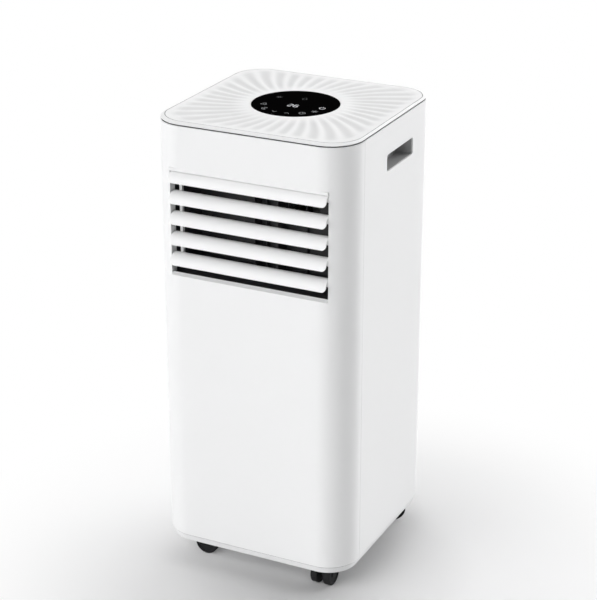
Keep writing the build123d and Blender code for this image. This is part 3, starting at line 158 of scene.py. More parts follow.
class StageSettings(bpy.types.PropertyGroup):
    """Lamps, floor and camera."""

    back_light: FloatProperty(name="Back light", description="Lamps behind and above", default=1.0, min=0.0)
    front_light: FloatProperty(name="Front light", description="Lamps on the front", default=1.0, min=0.0)
    side_light: FloatProperty(name="Side light", description="Lamp on the right side", default=1.0, min=0.0)
    sky: FloatProperty(name="Sky", description="Even light from all round", default=0.04, min=0.0)
    floor_size: FloatProperty(name="Floor", description="Width of the floor", default=24.0, unit="LENGTH")
    heading: FloatProperty(
        name="Heading", description="Turn of the camera", default=math.radians(26.0117), unit="ROTATION")
    pitch: FloatProperty(
        name="Pitch", description="Angle that the camera looks down", default=math.radians(22.6469),
        unit="ROTATION")
    camera: FloatVectorProperty(
        name="Camera", description="Place of the camera", default=(1.12234, -2.29089, 1.45311),
        subtype="TRANSLATION", unit="LENGTH")
    lens: FloatProperty(name="Lens", description="Focal length in millimetres", default=112.565)


# ---------------------------------------------------------------- node trees as expressions
class Value:
    """A node socket that takes part in Python expressions."""

    def __init__(self, nodes, socket):
        self.nodes = nodes
        self.socket = socket

    def __add__(self, other):
        return self.nodes.math("ADD", self, other)

    def __sub__(self, other):
        return self.nodes.math("SUBTRACT", self, other)

    def __rsub__(self, other):
        return self.nodes.math("SUBTRACT", other, self)

    def __mul__(self, other):
        return self.nodes.math("MULTIPLY", self, other)

    def __truediv__(self, other):
        return self.nodes.math("DIVIDE", self, other)

    __radd__ = __add__
    __rmul__ = __mul__


class Nodes:
    """Adds nodes to one tree: a type, its settings first, then the values or links of its sockets."""

    def __init__(self, tree):
        self.tree = tree

    def add(self, kind, settings=None, sockets=None):
        node = self.tree.nodes.new(kind)
        for key, value in (settings or {}).items():
            setattr(node, key, value)
        for key, value in (sockets or {}).items():
            self.feed(node.inputs[key], value)
        return node

    def feed(self, socket, value):
        if isinstance(value, Value):
            self.tree.links.new(value.socket, socket)
        else:
            socket.default_value = value

    def value(self, kind, settings=None, sockets=None, output=0):
        return Value(self, self.add(kind, settings, sockets).outputs[output])

    def math(self, operation, *values):
        return self.value("ShaderNodeMath", {"operation": operation}, dict(enumerate(values)))

    def smooth(self, value, low, high):
        """0 below low, 1 above high, and a smooth step between."""
        return self.value(
            "ShaderNodeMapRange", {"interpolation_type": "SMOOTHSTEP"},
            {"Value": value, "From Min": low, "From Max": high})


# ---------------------------------------------------------------- finishes
def noise(nodes, place, size, detail=3.0, stretch=(1.0, 1.0, 1.0)):
    """Soft noise from 0 to 1 whose patches are about this large, in metres."""
    spread = nodes.value("ShaderNodeMapping", {}, {"Vector": place, "Scale": stretch})
    return nodes.value(
        "ShaderNodeTexNoise", {}, {"Vector": spread, "Scale": 1.0 / size, "Detail": detail}, "Fac")


def shade_of(colour, share):
    """A colour made lighter or darker by this share."""
    return tuple(min(1.0, channel * share) for channel in colour[:3]) + (1.0,)


def mixed(nodes, factor, first, second):
    node = nodes.add("ShaderNodeMix", {"data_type": "RGBA"})
    nodes.feed(node.inputs[0], factor)
    nodes.feed(node.inputs[6], first)
    nodes.feed(node.inputs[7], second)
    return Value(nodes, node.outputs[2])


def moulded(name, colour, roughness, mottle=0.015, patch=0.05, grain=0.0009, relief=0.00001, bump=0.25,
            stretch=(1.0, 1.0, 1.0), metallic=0.0, spread=0.08, specular=0.5, coat=0.0, tint=None):
    """A surface whose shade, gloss and fine relief vary as moulding, rolling or coating leaves them."""
    material = bpy.data.materials.new(f"{name}_finish")
    material.use_nodes = True
    material.diffuse_color = shade_of(colour, 1.0)
    nodes = Nodes(material.node_tree)
    shader = material.node_tree.nodes["Principled BSDF"]
    place = nodes.value("ShaderNodeTexCoord", output="Object")
    patches = noise(nodes, place, patch)
    streaks = noise(nodes, place, grain * 8, 2.0, stretch)
    fine = noise(nodes, place, grain, 2.0, stretch)
    lighter = shade_of(colour, 1.0 + mottle)
    darker = shade_of(tint or colour, 1.0 - mottle)
    nodes.feed(shader.inputs["Base Color"], mixed(nodes, patches * 0.6 + streaks * 0.4, darker, lighter))
    nodes.feed(shader.inputs["Roughness"], roughness + (streaks - 0.5) * spread)
    shader.inputs["Metallic"].default_value = metallic
    shader.inputs["Specular IOR Level"].default_value = specular
    shader.inputs["Coat Weight"].default_value = coat
    shader.inputs["Coat Roughness"].default_value = 0.1
    relief_node = nodes.value(
        "ShaderNodeBump", {}, {"Strength": bump, "Distance": relief, "Height": fine}, "Normal")
    nodes.feed(shader.inputs["Normal"], relief_node)
    return material


def printed_board(name):
    """Green solder mask with a fine pattern of copper tracks under it."""
    material = moulded(name, (0.02, 0.11, 0.05), 0.35, mottle=0.1, coat=0.3)
    nodes = Nodes(material.node_tree)
    shader = material.node_tree.nodes["Principled BSDF"]
    place = nodes.value("ShaderNodeTexCoord", output="Object")
    tracks = nodes.value(
        "ShaderNodeTexBrick", {"offset": 0.37},
        {"Vector": place, "Scale": 180.0, "Mortar Size": 0.06, "Brick Width": 0.8, "Row Height": 0.3}, "Fac")
    nodes.feed(shader.inputs["Base Color"], mixed(
        nodes, tracks, (0.02, 0.11, 0.05, 1.0), (0.09, 0.26, 0.10, 1.0)))
    return material


def fluted(name, colour, share, **relief):
    """A moulding whose hollows, from the attribute of that name, are painted this share darker: painted shade
    in the hollows of the flutes.
    """
    material = moulded(name, colour, 0.5, specular=0.12, **relief)
    nodes = Nodes(material.node_tree)
    base = material.node_tree.nodes["Principled BSDF"].inputs["Base Color"]
    plain = Value(nodes, base.links[0].from_socket)
    hollow = nodes.value("ShaderNodeAttribute", {"attribute_name": "hollow"}, {}, "Fac")
    # painted shade: the plain colour is multiplied down where the hollow attribute is high
    darker = nodes.add("ShaderNodeMix", {"data_type": "RGBA", "blend_type": "MULTIPLY"})
    nodes.feed(darker.inputs[0], hollow)
    nodes.feed(darker.inputs[6], plain)
    nodes.feed(darker.inputs[7], (1.0 - share, 1.0 - share, 1.0 - share, 1.0))
    nodes.feed(base, Value(nodes, darker.outputs[2]))
    return material


def lit_mark(name, colour, strength):
    """A mark lit from behind the panel, with the faint unevenness of its diffuser."""
    material = moulded(name, colour, 0.5, mottle=0.05, patch=0.004, specular=0.1)
    nodes = Nodes(material.node_tree)
    shader = material.node_tree.nodes["Principled BSDF"]
    place = nodes.value("ShaderNodeTexCoord", output="Object")
    nodes.feed(shader.inputs["Emission Color"], mixed(
        nodes, noise(nodes, place, 0.003), shade_of(colour, 0.75), shade_of(colour, 1.0)))
    shader.inputs["Emission Strength"].default_value = strength
    return material


def make_finishes(colours):
    """One material for each material slot of the record."""
    fine = {"mottle": 0.006, "patch": 0.09, "grain": 0.0007, "relief": 0.000006, "bump": 0.15, "spread": 0.05}
    coarse = {"mottle": 0.06, "patch": 0.02, "grain": 0.0005, "relief": 0.00006, "bump": 0.6}
    rolled = {"mottle": 0.08, "patch": 0.03, "grain": 0.0003, "relief": 0.00001, "metallic": 1.0}
    duct = tuple(colours.duct)
    FINISHES.update({
        "casing_white": moulded("casing_white", colours.casing, 0.36, **fine),
        # the lid's hollows get painted shade, 0.18 darker
        "lid_white": fluted("lid_white", colours.lid, 0.18, **fine),
        "louvre_white": moulded("louvre_white", colours.louvre, 0.45, specular=0.3, **fine),
        "base_white": moulded("base_white", colours.base, 0.45, **fine),
        "black_glass": moulded("black_glass", (0.002, 0.0018, 0.0019), 0.14, mottle=0.2, relief=0.000002,
                               specular=0.0, spread=0.04),
        "circuit_board": printed_board("circuit_board"),
        "grey_plastic": moulded("grey_plastic", colours.grip, 0.55, **coarse),
        "duct_black": moulded("duct_black", (0.026, 0.026, 0.028), 0.55, **coarse),
        "duct_grey": moulded("duct_grey", duct, 0.55, **coarse),
        "black_plastic": moulded("black_plastic", (0.022, 0.022, 0.024), 0.5, **coarse),
        "black_nylon": moulded("black_nylon", (0.012, 0.012, 0.013), 0.42, specular=0.15, **coarse),
        "wheel_rubber": moulded("wheel_rubber", (0.014, 0.014, 0.015), 0.62, specular=0.15, **coarse),
        "black_rubber": moulded("black_rubber", (0.020, 0.020, 0.021), 0.7, **coarse),
        "zinc_steel": moulded("zinc_steel", (0.62, 0.63, 0.66), 0.34, stretch=(1, 1, 0.08), **rolled),
        "motor_metal": moulded("motor_metal", (0.42, 0.43, 0.44), 0.4, stretch=(0.1, 1, 1), **rolled),
        "compressor_black": moulded("compressor_black", (0.012, 0.012, 0.013), 0.28, mottle=0.15, coat=0.4,
                                    grain=0.002, relief=0.00003),
        "fin_aluminium": moulded("fin_aluminium", (0.70, 0.71, 0.72), 0.36, stretch=(1, 0.1, 1), **rolled),
        "copper": moulded("copper", (0.72, 0.33, 0.18), 0.3, tint=(0.42, 0.16, 0.09), mottle=0.1,
                          patch=0.02, metallic=1.0),
        "capacitor_can": moulded("capacitor_can", (0.66, 0.66, 0.67), 0.3, stretch=(1, 1, 0.05), **rolled),
        "filter_mesh": moulded("filter_mesh", (0.16, 0.18, 0.20), 0.6, **coarse),
    })
    for node, item in frame["nodes"].items():
        item.data.materials.clear()
        item.data.materials.append(FINISHES[SLOT_OF[node]])


# ---------------------------------------------------------------- making pieces
def piece_from(name, builder, material):
    """A linked object at the origin from a bmesh that is then freed."""
    mesh = bpy.data.meshes.new(name)
    builder.to_mesh(mesh)
    builder.free()
    item = bpy.data.objects.new(name, mesh)
    bpy.context.scene.collection.objects.link(item)
    mesh.materials.append(material)
    return item


def settle(item):
    """Turns an object's modifiers into a plain mesh."""
    bpy.context.view_layer.update()
    depsgraph = bpy.context.evaluated_depsgraph_get()
    mesh = bpy.data.meshes.new_from_object(item.evaluated_get(depsgraph), depsgraph=depsgraph)
    item.modifiers.clear()
    item.data = mesh
    mesh.name = item.name
    return item


def smooth_by_angle(mesh, degrees):
    """Smooth shading, with edges sharper than this kept crisp."""
    builder = bmesh.new()
    builder.from_mesh(mesh)
    for face in builder.faces:
        face.smooth = True
    for edge in builder.edges:
        edge.smooth = not edge.is_manifold or edge.calc_face_angle() < math.radians(degrees)
    builder.to_mesh(mesh)
    builder.free()


def place(item, body, slot, *nodes):
    """Sets what a finished piece rides on and hides the frame nodes that it stands for; its slot is not used.
    """
    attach(item, body)
    if nodes:
        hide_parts(*nodes)
    return item


def rounded(node, name, edge, angle=34.0):
    """A merged copy of a frame node with its sharp edges broken by a small radius."""
    builder = bmesh.new()
    builder.from_mesh(frame["nodes"][node].data)
    bmesh.ops.remove_doubles(builder, verts=builder.verts, dist=0.000002)
    bmesh.ops.dissolve_limit(
        builder, angle_limit=math.radians(0.4), verts=builder.verts, edges=builder.edges)
    slot = SLOT_OF[node]
    item = piece_from(name, builder, FINISHES[slot])
    for attribute in [a for a in item.data.attributes if a.name == "custom_normal"]:
        item.data.attributes.remove(attribute)
    bevel = item.modifiers.new("Edge", "BEVEL")
    bevel.limit_method = "ANGLE"
    bevel.angle_limit = math.radians(angle)
    bevel.width = edge
    bevel.segments = 2
    bevel.use_clamp_overlap = True
    settle(item)
    smooth_by_angle(item.data, angle + 12.0)
    weighted = item.modifiers.new("Normals", "WEIGHTED_NORMAL")
    weighted.keep_sharp = True
    settle(item)
    return place(item, frame["nodes"][node]["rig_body"], slot, node)


def grow(name, tree, inputs, material, mesh=None):
    """Runs a geometry tree on a fresh object, with its inputs set by name, and keeps a plain mesh."""
    item = bpy.data.objects.new(name, mesh or bpy.data.meshes.new(name))
    bpy.context.scene.collection.objects.link(item)
    modifier = item.modifiers.new("Grow", "NODES")
    modifier.node_group = tree
    known = {socket.name: socket.identifier for socket in tree.interface.items_tree
             if socket.item_type == "SOCKET" and socket.in_out == "INPUT"}
    for key, value in {**inputs, "Finish": material}.items():
        modifier[known[key]] = value
    return settle(item)


def geometry_tree(name, sockets):
    """A geometry tree with named inputs; gives the tree, its nodes, its inputs by name, and its ending."""
    tree = bpy.data.node_groups.new(name, "GeometryNodeTree")
    tree.interface.new_socket("Geometry", in_out="INPUT", socket_type="NodeSocketGeometry")
    for key, kind in sockets.items():
        tree.interface.new_socket(key, in_out="INPUT", socket_type=kind)
    tree.interface.new_socket("Finish", in_out="INPUT", socket_type="NodeSocketMaterial")
    tree.interface.new_socket("Geometry", in_out="OUTPUT", socket_type="NodeSocketGeometry")
    nodes = Nodes(tree)
    entry = nodes.add("NodeGroupInput")
    inputs = {socket.name: Value(nodes, socket) for socket in entry.outputs if socket.name}

    def end(geometry):
        realized = nodes.value("GeometryNodeRealizeInstances", {}, {"Geometry": geometry})
        dressed = nodes.value(
            "GeometryNodeSetMaterial", {}, {"Geometry": realized, "Material": inputs["Finish"]})
        nodes.add("NodeGroupOutput", {}, {"Geometry": dressed})

    return tree, nodes, inputs, end


def vector_of(nodes, x=0.0, y=0.0, z=0.0):
    return nodes.value("ShaderNodeCombineXYZ", {}, {"X": x, "Y": y, "Z": z})


def row_tree():
    """Boxes repeated along one direction: fins, strands and ribs."""
    tree, nodes, inputs, end = geometry_tree("Row of bars", {
        "Count": "NodeSocketInt", "First": "NodeSocketVector", "Step": "NodeSocketVector",
        "Size": "NodeSocketVector"})
    line = nodes.value("GeometryNodeMeshLine", {"mode": "OFFSET"}, {
        "Count": inputs["Count"], "Start Location": inputs["First"], "Offset": inputs["Step"]})
    bar = nodes.value("GeometryNodeMeshCube", {}, {"Size": inputs["Size"]})
    end(nodes.value("GeometryNodeInstanceOnPoints", {}, {"Points": line, "Instance": bar}))
    return tree


def scatter_tree():
    """One small part repeated at given points."""
    tree, nodes, inputs, end = geometry_tree("Part at points", {"Part": "NodeSocketObject"})
    part = nodes.value(
        "GeometryNodeObjectInfo", {"transform_space": "ORIGINAL"}, {"Object": inputs["Part"]}, "Geometry")
    end(nodes.value(
        "GeometryNodeInstanceOnPoints", {}, {"Points": inputs["Geometry"], "Instance": part}))
    return tree


def points_mesh(name, points):
    mesh = bpy.data.meshes.new(name)
    mesh.from_pydata([tuple(point) for point in points], [], [])
    return mesh


def lathe(name, profile, centre, axis, material, segments=96):
    """A closed turned shape: profile is (radius, distance along the axis), from pole to pole."""
    direction = Vector(axis).normalized()
    side = direction.orthogonal().normalized()
    other = direction.cross(side)
    builder = bmesh.new()
    rings = []
    for radius, along in profile:
        middle = Vector(centre) + direction * along
        if radius == 0.0:
            rings.append([builder.verts.new(middle)])
            continue
        rings.append([
            builder.verts.new(middle + radius * (
                math.cos(math.tau * i / segments) * side + math.sin(math.tau * i / segments) * other))
            for i in range(segments)])
    for low, high in zip(rings, rings[1:]):
        for i in range(segments):
            corners = [low[i % len(low)], low[(i + 1) % len(low)],
                       high[(i + 1) % len(high)], high[i % len(high)]]
            unique = list(dict.fromkeys(corners))
            builder.faces.new(unique)
    bmesh.ops.recalc_face_normals(builder, faces=builder.faces)
    item = piece_from(name, builder, material)
    smooth_by_angle(item.data, 40.0)
    return item


# ---------------------------------------------------------------- fluted lid
def square_reach(angle, half, corner, deeper=0.0):
    """Distance from the middle to a rounded square's edge along a direction; deeper takes some off in y."""
    ux, uy = abs(math.cos(angle)), abs(math.sin(angle))
    wide, deep = half, half - deeper
    reach = min(wide / max(ux, 1e-9), deep / max(uy, 1e-9))
    across, along = wide - corner, deep - corner
    if reach * ux > across and reach * uy > along:
        middle = ux * across + uy * along
        reach = middle + math.sqrt(middle * middle - (across * across + along * along - corner * corner))
    return reach


def lid_tree():
    """Sinks the lid's top face between ridges that swirl out from the touch panel."""
    tree, nodes, inputs, end = geometry_tree("Swirled flutes", {
        "Flutes": "NodeSocketFloat", "Depth": "NodeSocketFloat", "Start": "NodeSocketFloat",
        "Swirl": "NodeSocketFloat", "First": "NodeSocketFloat", "Margin": "NodeSocketFloat"})
    position = nodes.value("GeometryNodeInputPosition")
    split = nodes.add("ShaderNodeSeparateXYZ", {}, {"Vector": position})
    x, y = Value(nodes, split.outputs["X"]), Value(nodes, split.outputs["Y"])
    radius = nodes.math("SQRT", x * x + y * y)
    angle = nodes.math("ARCTAN2", y, x)
    turned = angle - inputs["First"] - inputs["Swirl"] * (radius - inputs["Start"])
    ridge = 0.5 + nodes.math("COSINE", turned * inputs["Flutes"]) * 0.5
    hollow = 1.0 - nodes.math("POWER", ridge, 1.5)
    inner = nodes.smooth(radius, inputs["Start"] - 0.004, inputs["Start"] + 0.031)
    to_edge = nodes.value(
        "GeometryNodeInputNamedAttribute", {"data_type": "FLOAT"}, {"Name": "to_edge"}, "Attribute")
    outer = nodes.smooth(to_edge, inputs["Margin"], inputs["Margin"] + 0.018)
    sink = hollow * inner * outer
    # the stored hollow attribute drives the painted shade in the lid's colour
    noted = nodes.add("GeometryNodeStoreNamedAttribute", {"data_type": "FLOAT", "domain": "POINT"}, {
        "Geometry": inputs["Geometry"], "Name": "hollow"})
    nodes.feed(noted.inputs["Value"], sink)
    moved = nodes.value("GeometryNodeSetPosition", {}, {
        "Geometry": Value(nodes, noted.outputs[0]),
        "Offset": vector_of(nodes, z=0.0 - sink * inputs["Depth"])})
    end(nodes.value("GeometryNodeSetShadeSmooth", {}, {"Geometry": moved}))
    return tree


def lid_blank(settings):
    """The lid before it is fluted: a net of rings that follow the swirl, a soft edge, neck and pocket."""
    half = LID_HIGH.x
    top, bottom = LID_HIGH.z, LID_LOW.z
    seat = top - 3.2 * MM
    pocket = DISC_HIGH.x + 0.3 * MM
    bevel = 0.4 * MM
    rim = pocket + bevel
    sectors = settings.flutes * 12
    field_steps = 22
    edge_inset = 4.9 * MM
    wider = 4.2 * MM
    neck, neck_inset = 2.8 * MM, 5.3 * MM
    # from the field's edge outward: the groove for the inlay, the sloping border, the side, the underside
    shoulder = [(inset * MM, share, top - drop * MM) for inset, share, drop in (
        (4.85, 1.0, 0.0), (4.8, 1.0, 1.6), (3.4, 1.0, 1.6), (3.35, 1.0, 0.1), (3.2, 0.95, 0.14),
        (0.5, 0.12, 1.75), (0.2, 0.0, 1.92), (0.0, 0.0, 2.15), (0.0, 0.0, 2.35), (1.0, 0.0, 3.2),
        (2.8, 0.0, 3.2))]
    builder = bmesh.new()
    to_edge = builder.verts.layers.float.new("to_edge")
    loops = []

    def ring(place_of):
        loop = []
        for i in range(sectors):
            loop.append(builder.verts.new(place_of(math.tau * i / sectors)))
        loops.append(loop)
        return loop

    def around(angle, reach, height):
        return Vector((reach * math.cos(angle), reach * math.sin(angle), height))

    def field_edge(angle):
        return square_reach(angle, half - edge_inset, settings.corner - edge_inset, wider)

    for reach, height in ((pocket, DISC_LOW.z), (pocket, top - bevel), (rim, top)):
        ring(lambda angle, r=reach, h=height: around(angle, r, h))
    for step in range(1, field_steps + 1):
        def swirled(angle, s=step / field_steps):
            reach = rim + s * (field_edge(angle) - rim)
            turn = settings.swirl * (reach - rim) * (1.0 - s ** 6)
            return around(angle + turn, min(reach, field_edge(angle + turn)), top)
        ring(swirled)
    for inset, share, height in shoulder:
        ring(lambda angle, i=inset, s=share, h=height: around(
            angle, square_reach(angle, half - i, settings.corner - i, wider * s), h))
    for inset, height in ((neck, bottom), (neck_inset, bottom), (neck_inset, seat)):
        ring(lambda angle, i=inset, h=height: around(
            angle, square_reach(angle, half - i, settings.corner - i), h))
    for low, high in zip(loops, loops[1:]):
        for i in range(sectors):
            builder.faces.new((low[i], high[i], high[(i + 1) % sectors], low[(i + 1) % sectors]))
    builder.faces.new(loops[0][::-1])
    builder.faces.new(loops[-1])
    for vertex in builder.verts:
        reach = math.hypot(vertex.co.x, vertex.co.y)
        angle = math.atan2(vertex.co.y, vertex.co.x)
        on_top = vertex.co.z > top - 0.05 * MM
        vertex[to_edge] = square_reach(angle, half, settings.corner, wider) - reach if on_top else 0.0
    bmesh.ops.recalc_face_normals(builder, faces=builder.faces)
    mesh = bpy.data.meshes.new("fluted_lid")
    builder.to_mesh(mesh)
    builder.free()
    return mesh


def make_lid(settings):
    lid = grow("fluted_lid", lid_tree(), {
        "Flutes": float(settings.flutes), "Depth": settings.depth, "Start": settings.start,
        "Swirl": settings.swirl, "First": settings.first, "Margin": settings.margin,
    }, FINISHES["lid_white"], lid_blank(settings))
    smooth_by_angle(lid.data, 38.0)
    place(lid, "casing", "lid_white", "top_cover")


# ---------------------------------------------------------------- touch panel
def ribbon(builder, points, width, low, high, closed=False):
    """A flat band along points, with square ends, from height low to high."""
    count = len(points)
    sides = []
    for i, point in enumerate(points):
        before = points[i - 1] if i or closed else point
        after = points[(i + 1) % count] if i < count - 1 or closed else point
        along = Vector((after[0] - before[0], after[1] - before[1])).normalized()
        normal = Vector((-along.y, along.x)) * width / 2
        sides.append([builder.verts.new((point[0] + sign * normal.x, point[1] + sign * normal.y, height))
                      for height in (low, high) for sign in (1, -1)])
    for i in range(count if closed else count - 1):
        a, b = sides[i], sides[(i + 1) % count]
        builder.faces.new((a[0], a[1], b[1], b[0]))
        builder.faces.new((a[2], b[2], b[3], a[3]))
        builder.faces.new((a[0], b[0], b[2], a[2]))
        builder.faces.new((a[1], a[3], b[3], b[1]))
    if not closed:
        for a in (sides[0], sides[-1]):
            builder.faces.new((a[0], a[2], a[3], a[1]))


def arc(centre, radius, first, last, steps=20):
    """Points on an arc, angles in degrees."""
    return [(centre[0] + radius * math.cos(math.radians(first + (last - first) * i / steps)),
             centre[1] + radius * math.sin(math.radians(first + (last - first) * i / steps)))
            for i in range(steps + 1)]


def icon_strokes(kind, size):
    """Lines of a plain key symbol, centred on zero: (points, closed)."""
    half = size / 2
    if kind == "power":
        return [(arc((0, 0), half * 0.85, 125, 415), False), ([(0, half * 0.15), (0, half * 1.1)], False)]
    if kind == "clock":
        return [(arc((0, 0), half * 0.9, 0, 342), True),
                ([(0, half * 0.55), (0, 0), (half * 0.45, 0)], False)]
    if kind == "flake":
        return [([(sign * half * math.cos(a), sign * half * math.sin(a)) for sign in (-1, 1)], False)
                for a in (math.pi / 6, math.pi / 2, math.pi * 5 / 6)]
    if kind == "fan":
        return [(arc((half * 0.5 * math.cos(a), half * 0.5 * math.sin(a)), half * 0.42,
                     math.degrees(a) - 150, math.degrees(a) + 100), False)
                for a in (math.pi / 2, math.pi * 7 / 6, math.pi * 11 / 6)]
    if kind == "drop":
        return [([(0, half)] + arc((0, -half * 0.3), half * 0.65, 150, 390), True)]
    if kind == "moon":
        return [(arc((0, 0), half * 0.9, 60, 300) + arc((half * 0.55, 0), half * 0.75, 250, 110), True)]
    sign = 1 if kind == "up" else -1
    return [([(-half * 0.7, -sign * half * 0.35), (0, sign * half * 0.45), (half * 0.7, -sign * half * 0.35)],
             False)]


KEYS = (("fan", -39, -22), ("moon", -28, -41), ("down", -10, -48), ("up", 10, -48), ("clock", 29, -39),
        ("flake", 41.5, -25), ("power", 44.5, -6))
FAINT_KEYS = (("drop", 2.5, 25.5), ("flake", -34.5, 17.5))
LIT_BARS = {0: "abcdef", 1: "bc", 2: "abged", 3: "abgcd", 4: "fgbc", 5: "afgcd", 6: "afgedc", 7: "abc",
            8: "abcdefg", 9: "abcdfg"}


def make_marks(name, keys, settings, material, low, high):
    builder = bmesh.new()
    for kind, x, y in keys:
        for points, closed in icon_strokes(kind, settings.icon):
            moved = [(px + x * MM, py + y * MM) for px, py in points]
            ribbon(builder, moved, settings.stroke, low, high, closed)
    bmesh.ops.recalc_face_normals(builder, faces=builder.faces)
    return place(piece_from(name, builder, material), "casing", "black_glass")


def digit_bars(digit, height):
    """The lit bars of a seven-bar digit, as end points."""
    w, h = height * 0.29, height / 2
    ends = {"a": ((-w, h), (w, h)), "g": ((-w, 0), (w, 0)), "d": ((-w, -h), (w, -h)),
            "f": ((-w, h), (-w, 0)), "b": ((w, h), (w, 0)), "e": ((-w, 0), (-w, -h)), "c": ((w, 0), (w, -h))}
    return [ends[bar] for bar in LIT_BARS[digit]]


def make_touch_panel(settings):
    top = DISC_HIGH.z - 0.08 * MM
    low = DISC_LOW.z
    radius = DISC_HIGH.x
    glass = lathe("touch_disc", [
        (0.0, low), (radius - 0.3 * MM, low), (radius, low + 0.3 * MM), (radius, top - 0.7 * MM),
        (radius - 0.15 * MM, top - 0.3 * MM), (radius - 0.5 * MM, top - 0.08 * MM), (radius - MM, top),
        (0.0, top)], (0, 0, 0), (0, 0, 1), FINISHES["black_glass"], 160)
    place(glass, "casing", "black_glass", "control_disc")
    high = DISC_HIGH.z
    bright = lit_mark("display_light", (0.75, 0.77, 0.80), settings.glow)
    plain = lit_mark("key_light", (0.30, 0.31, 0.32), 0.16)
    faint = lit_mark("faint_light", (0.06, 0.06, 0.065), 0.02)
    make_marks("key_marks", KEYS[:-1], settings, plain, top, high)
    make_marks("power_mark", KEYS[-1:], settings, bright, top, high)
    make_marks("faint_marks", FAINT_KEYS, settings, faint, top, high)
    builder = bmesh.new()
    middle, row, spacing, break_between = 2, -12, 8.8, 0.5
    for place_of, digit in enumerate(divmod(settings.reading, 10)):
        centre = ((middle - spacing / 2 + spacing * place_of) * MM, row * MM)
        for first, last in digit_bars(digit, settings.digit):
            along = Vector((last[0] - first[0], last[1] - first[1])).normalized() * break_between * MM
            ends = [(first[0] + centre[0] + along.x, first[1] + centre[1] + along.y),
                    (last[0] + centre[0] - along.x, last[1] + centre[1] - along.y)]
            ribbon(builder, ends, settings.stroke * 1.3, top, high)
    bmesh.ops.recalc_face_normals(builder, faces=builder.faces)
    place(piece_from("display_digits", builder, bright), "casing", "black_glass")


# ---------------------------------------------------------------- casing, louvres, casters, back
def make_casing():
    for node, name, edge in (
            ("front_panel", "front_shell", 0.5), ("side_panel_left", "left_shell", 0.5),
            ("side_panel_right", "right_shell", 0.5), ("rear_panel", "rear_shell", 0.4),
            ("base_tray", "base_shell", 0.6), ("handle_cup_left", "grip_left", 0.8),
            ("handle_cup_right", "grip_right", 0.8)):
        rounded(node, name, edge * MM)
    make_seals()


def make_louvres():
    for i in range(1, 6):
        rounded(f"louvre_blade_{i}", f"louvre_{i}", 0.6 * MM)
    rounded("louvre_link_bar", "louvre_bar", 0.5 * MM)


def make_casters():
    for corner in ("front_left", "front_right", "rear_left", "rear_right"):
        rounded(f"caster_hood_{corner}", f"hood_{corner}", 0.4 * MM)
        rounded(f"caster_wheels_{corner}", f"twin_wheels_{corner}", 0.4 * MM)


def add_block(builder, low, high):
    """A box between two corners, in millimetres."""
    bmesh.ops.create_cube(builder, size=1.0)
    for vertex in builder.verts[-8:]:
        vertex.co = MM * Vector([(a + b) / 2 + at * (b - a) for a, b, at in zip(low, high, vertex.co)])


def make_outlet_inside():
    """Ribs that guide the air behind the louvres, a black plate on the outlet's floor under them that is
    painted shade, and the trim above them.
    """
    low, high = (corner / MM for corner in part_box("outlet_duct"))
    wall = 2.6
    back = high.y - wall
    side, floor = 121.9, 463.02
    front, ramp_back, ramp_top = -152.2, -145.4, 465.8
    builder = bmesh.new()
    for x, width, reach in ((-25, 2.4, 22), (-12, 1.6, 10), (13, 4.0, 26), (50, 1.2, 6)):
        add_block(builder, (x - width / 2, back - reach, low.z + wall), (x + width / 2, back, high.z - wall))
    # painted shade: a thin black plate over the outlet's floor, where that floor lies in shade
    add_block(builder, (-side, ramp_back + 0.1, floor), (side, -135.2, 463.6))
    place(piece_from("outlet_guides", builder, FINISHES["duct_black"]), "casing", "duct_black")
    builder = bmesh.new()
    add_block(builder, (-side, front + 0.1, 618.3), (side, -146.0, 622.6))
    section = ((front, floor), (ramp_back, ramp_top), (ramp_back, floor))
    ends = [[builder.verts.new((x * MM, y * MM, z * MM)) for y, z in section] for x in (-side, side)]
    builder.faces.new(ends[0])
    builder.faces.new(ends[1][::-1])
    for i in range(3):
        builder.faces.new((ends[0][i], ends[0][(i + 1) % 3], ends[1][(i + 1) % 3], ends[1][i]))
    bmesh.ops.recalc_face_normals(builder, faces=builder.faces)
    place(piece_from("outlet_trim", builder, FINISHES["casing_white"]), "casing", "casing_white")


def make_seals():
    """Dark strips in the joints round the casing, and the grey inlay round the lid."""
    half, sectors = LID_HIGH.x, 240
    for name, slot, low, high, near, far, deeper in (
            ("lid_seal", "black_rubber", 684.5, 685.9, 0.9, 4.4, 0.0),
            ("base_seal", "black_rubber", 45.08, 45.52, 0.4, 2.2, 0.0),
            ("lid_inlay", "grey_plastic", 687.7, 688.95, 3.45, 4.75, 4.2)):
        builder = bmesh.new()
        loops = [[builder.verts.new((
            reach * math.cos(turn), reach * math.sin(turn), height * MM))
            for turn in (math.tau * i / sectors for i in range(sectors))
            for reach in (square_reach(turn, half - inset * MM, CORNER - inset * MM, deeper * MM),)]
            for inset, height in ((near, low), (near, high), (far, high), (far, low))]
        for one, two in zip(loops, loops[1:] + loops[:1]):
            for i in range(sectors):
                builder.faces.new((one[i], one[(i + 1) % sectors], two[(i + 1) % sectors], two[i]))
        bmesh.ops.recalc_face_normals(builder, faces=builder.faces)
        place(piece_from(name, builder, FINISHES[slot]), "casing", slot)
    builder = bmesh.new()
    wide = 0.22  # half of the strip that fills a joint
    for x in (-151.2, 151.2):
        add_block(builder, (x - 1, SEAM_Y - wide, SHELL_LOW), (x + 1, SEAM_Y + wide, SHELL_HIGH))
    for x in (-REAR_SEAM_X, REAR_SEAM_X):
        add_block(builder, (x - wide, 150.2, SHELL_LOW), (x + wide, 152.2, SHELL_HIGH))
    place(piece_from("upright_seals", builder, FINISHES["black_rubber"]), "casing", "black_rubber")


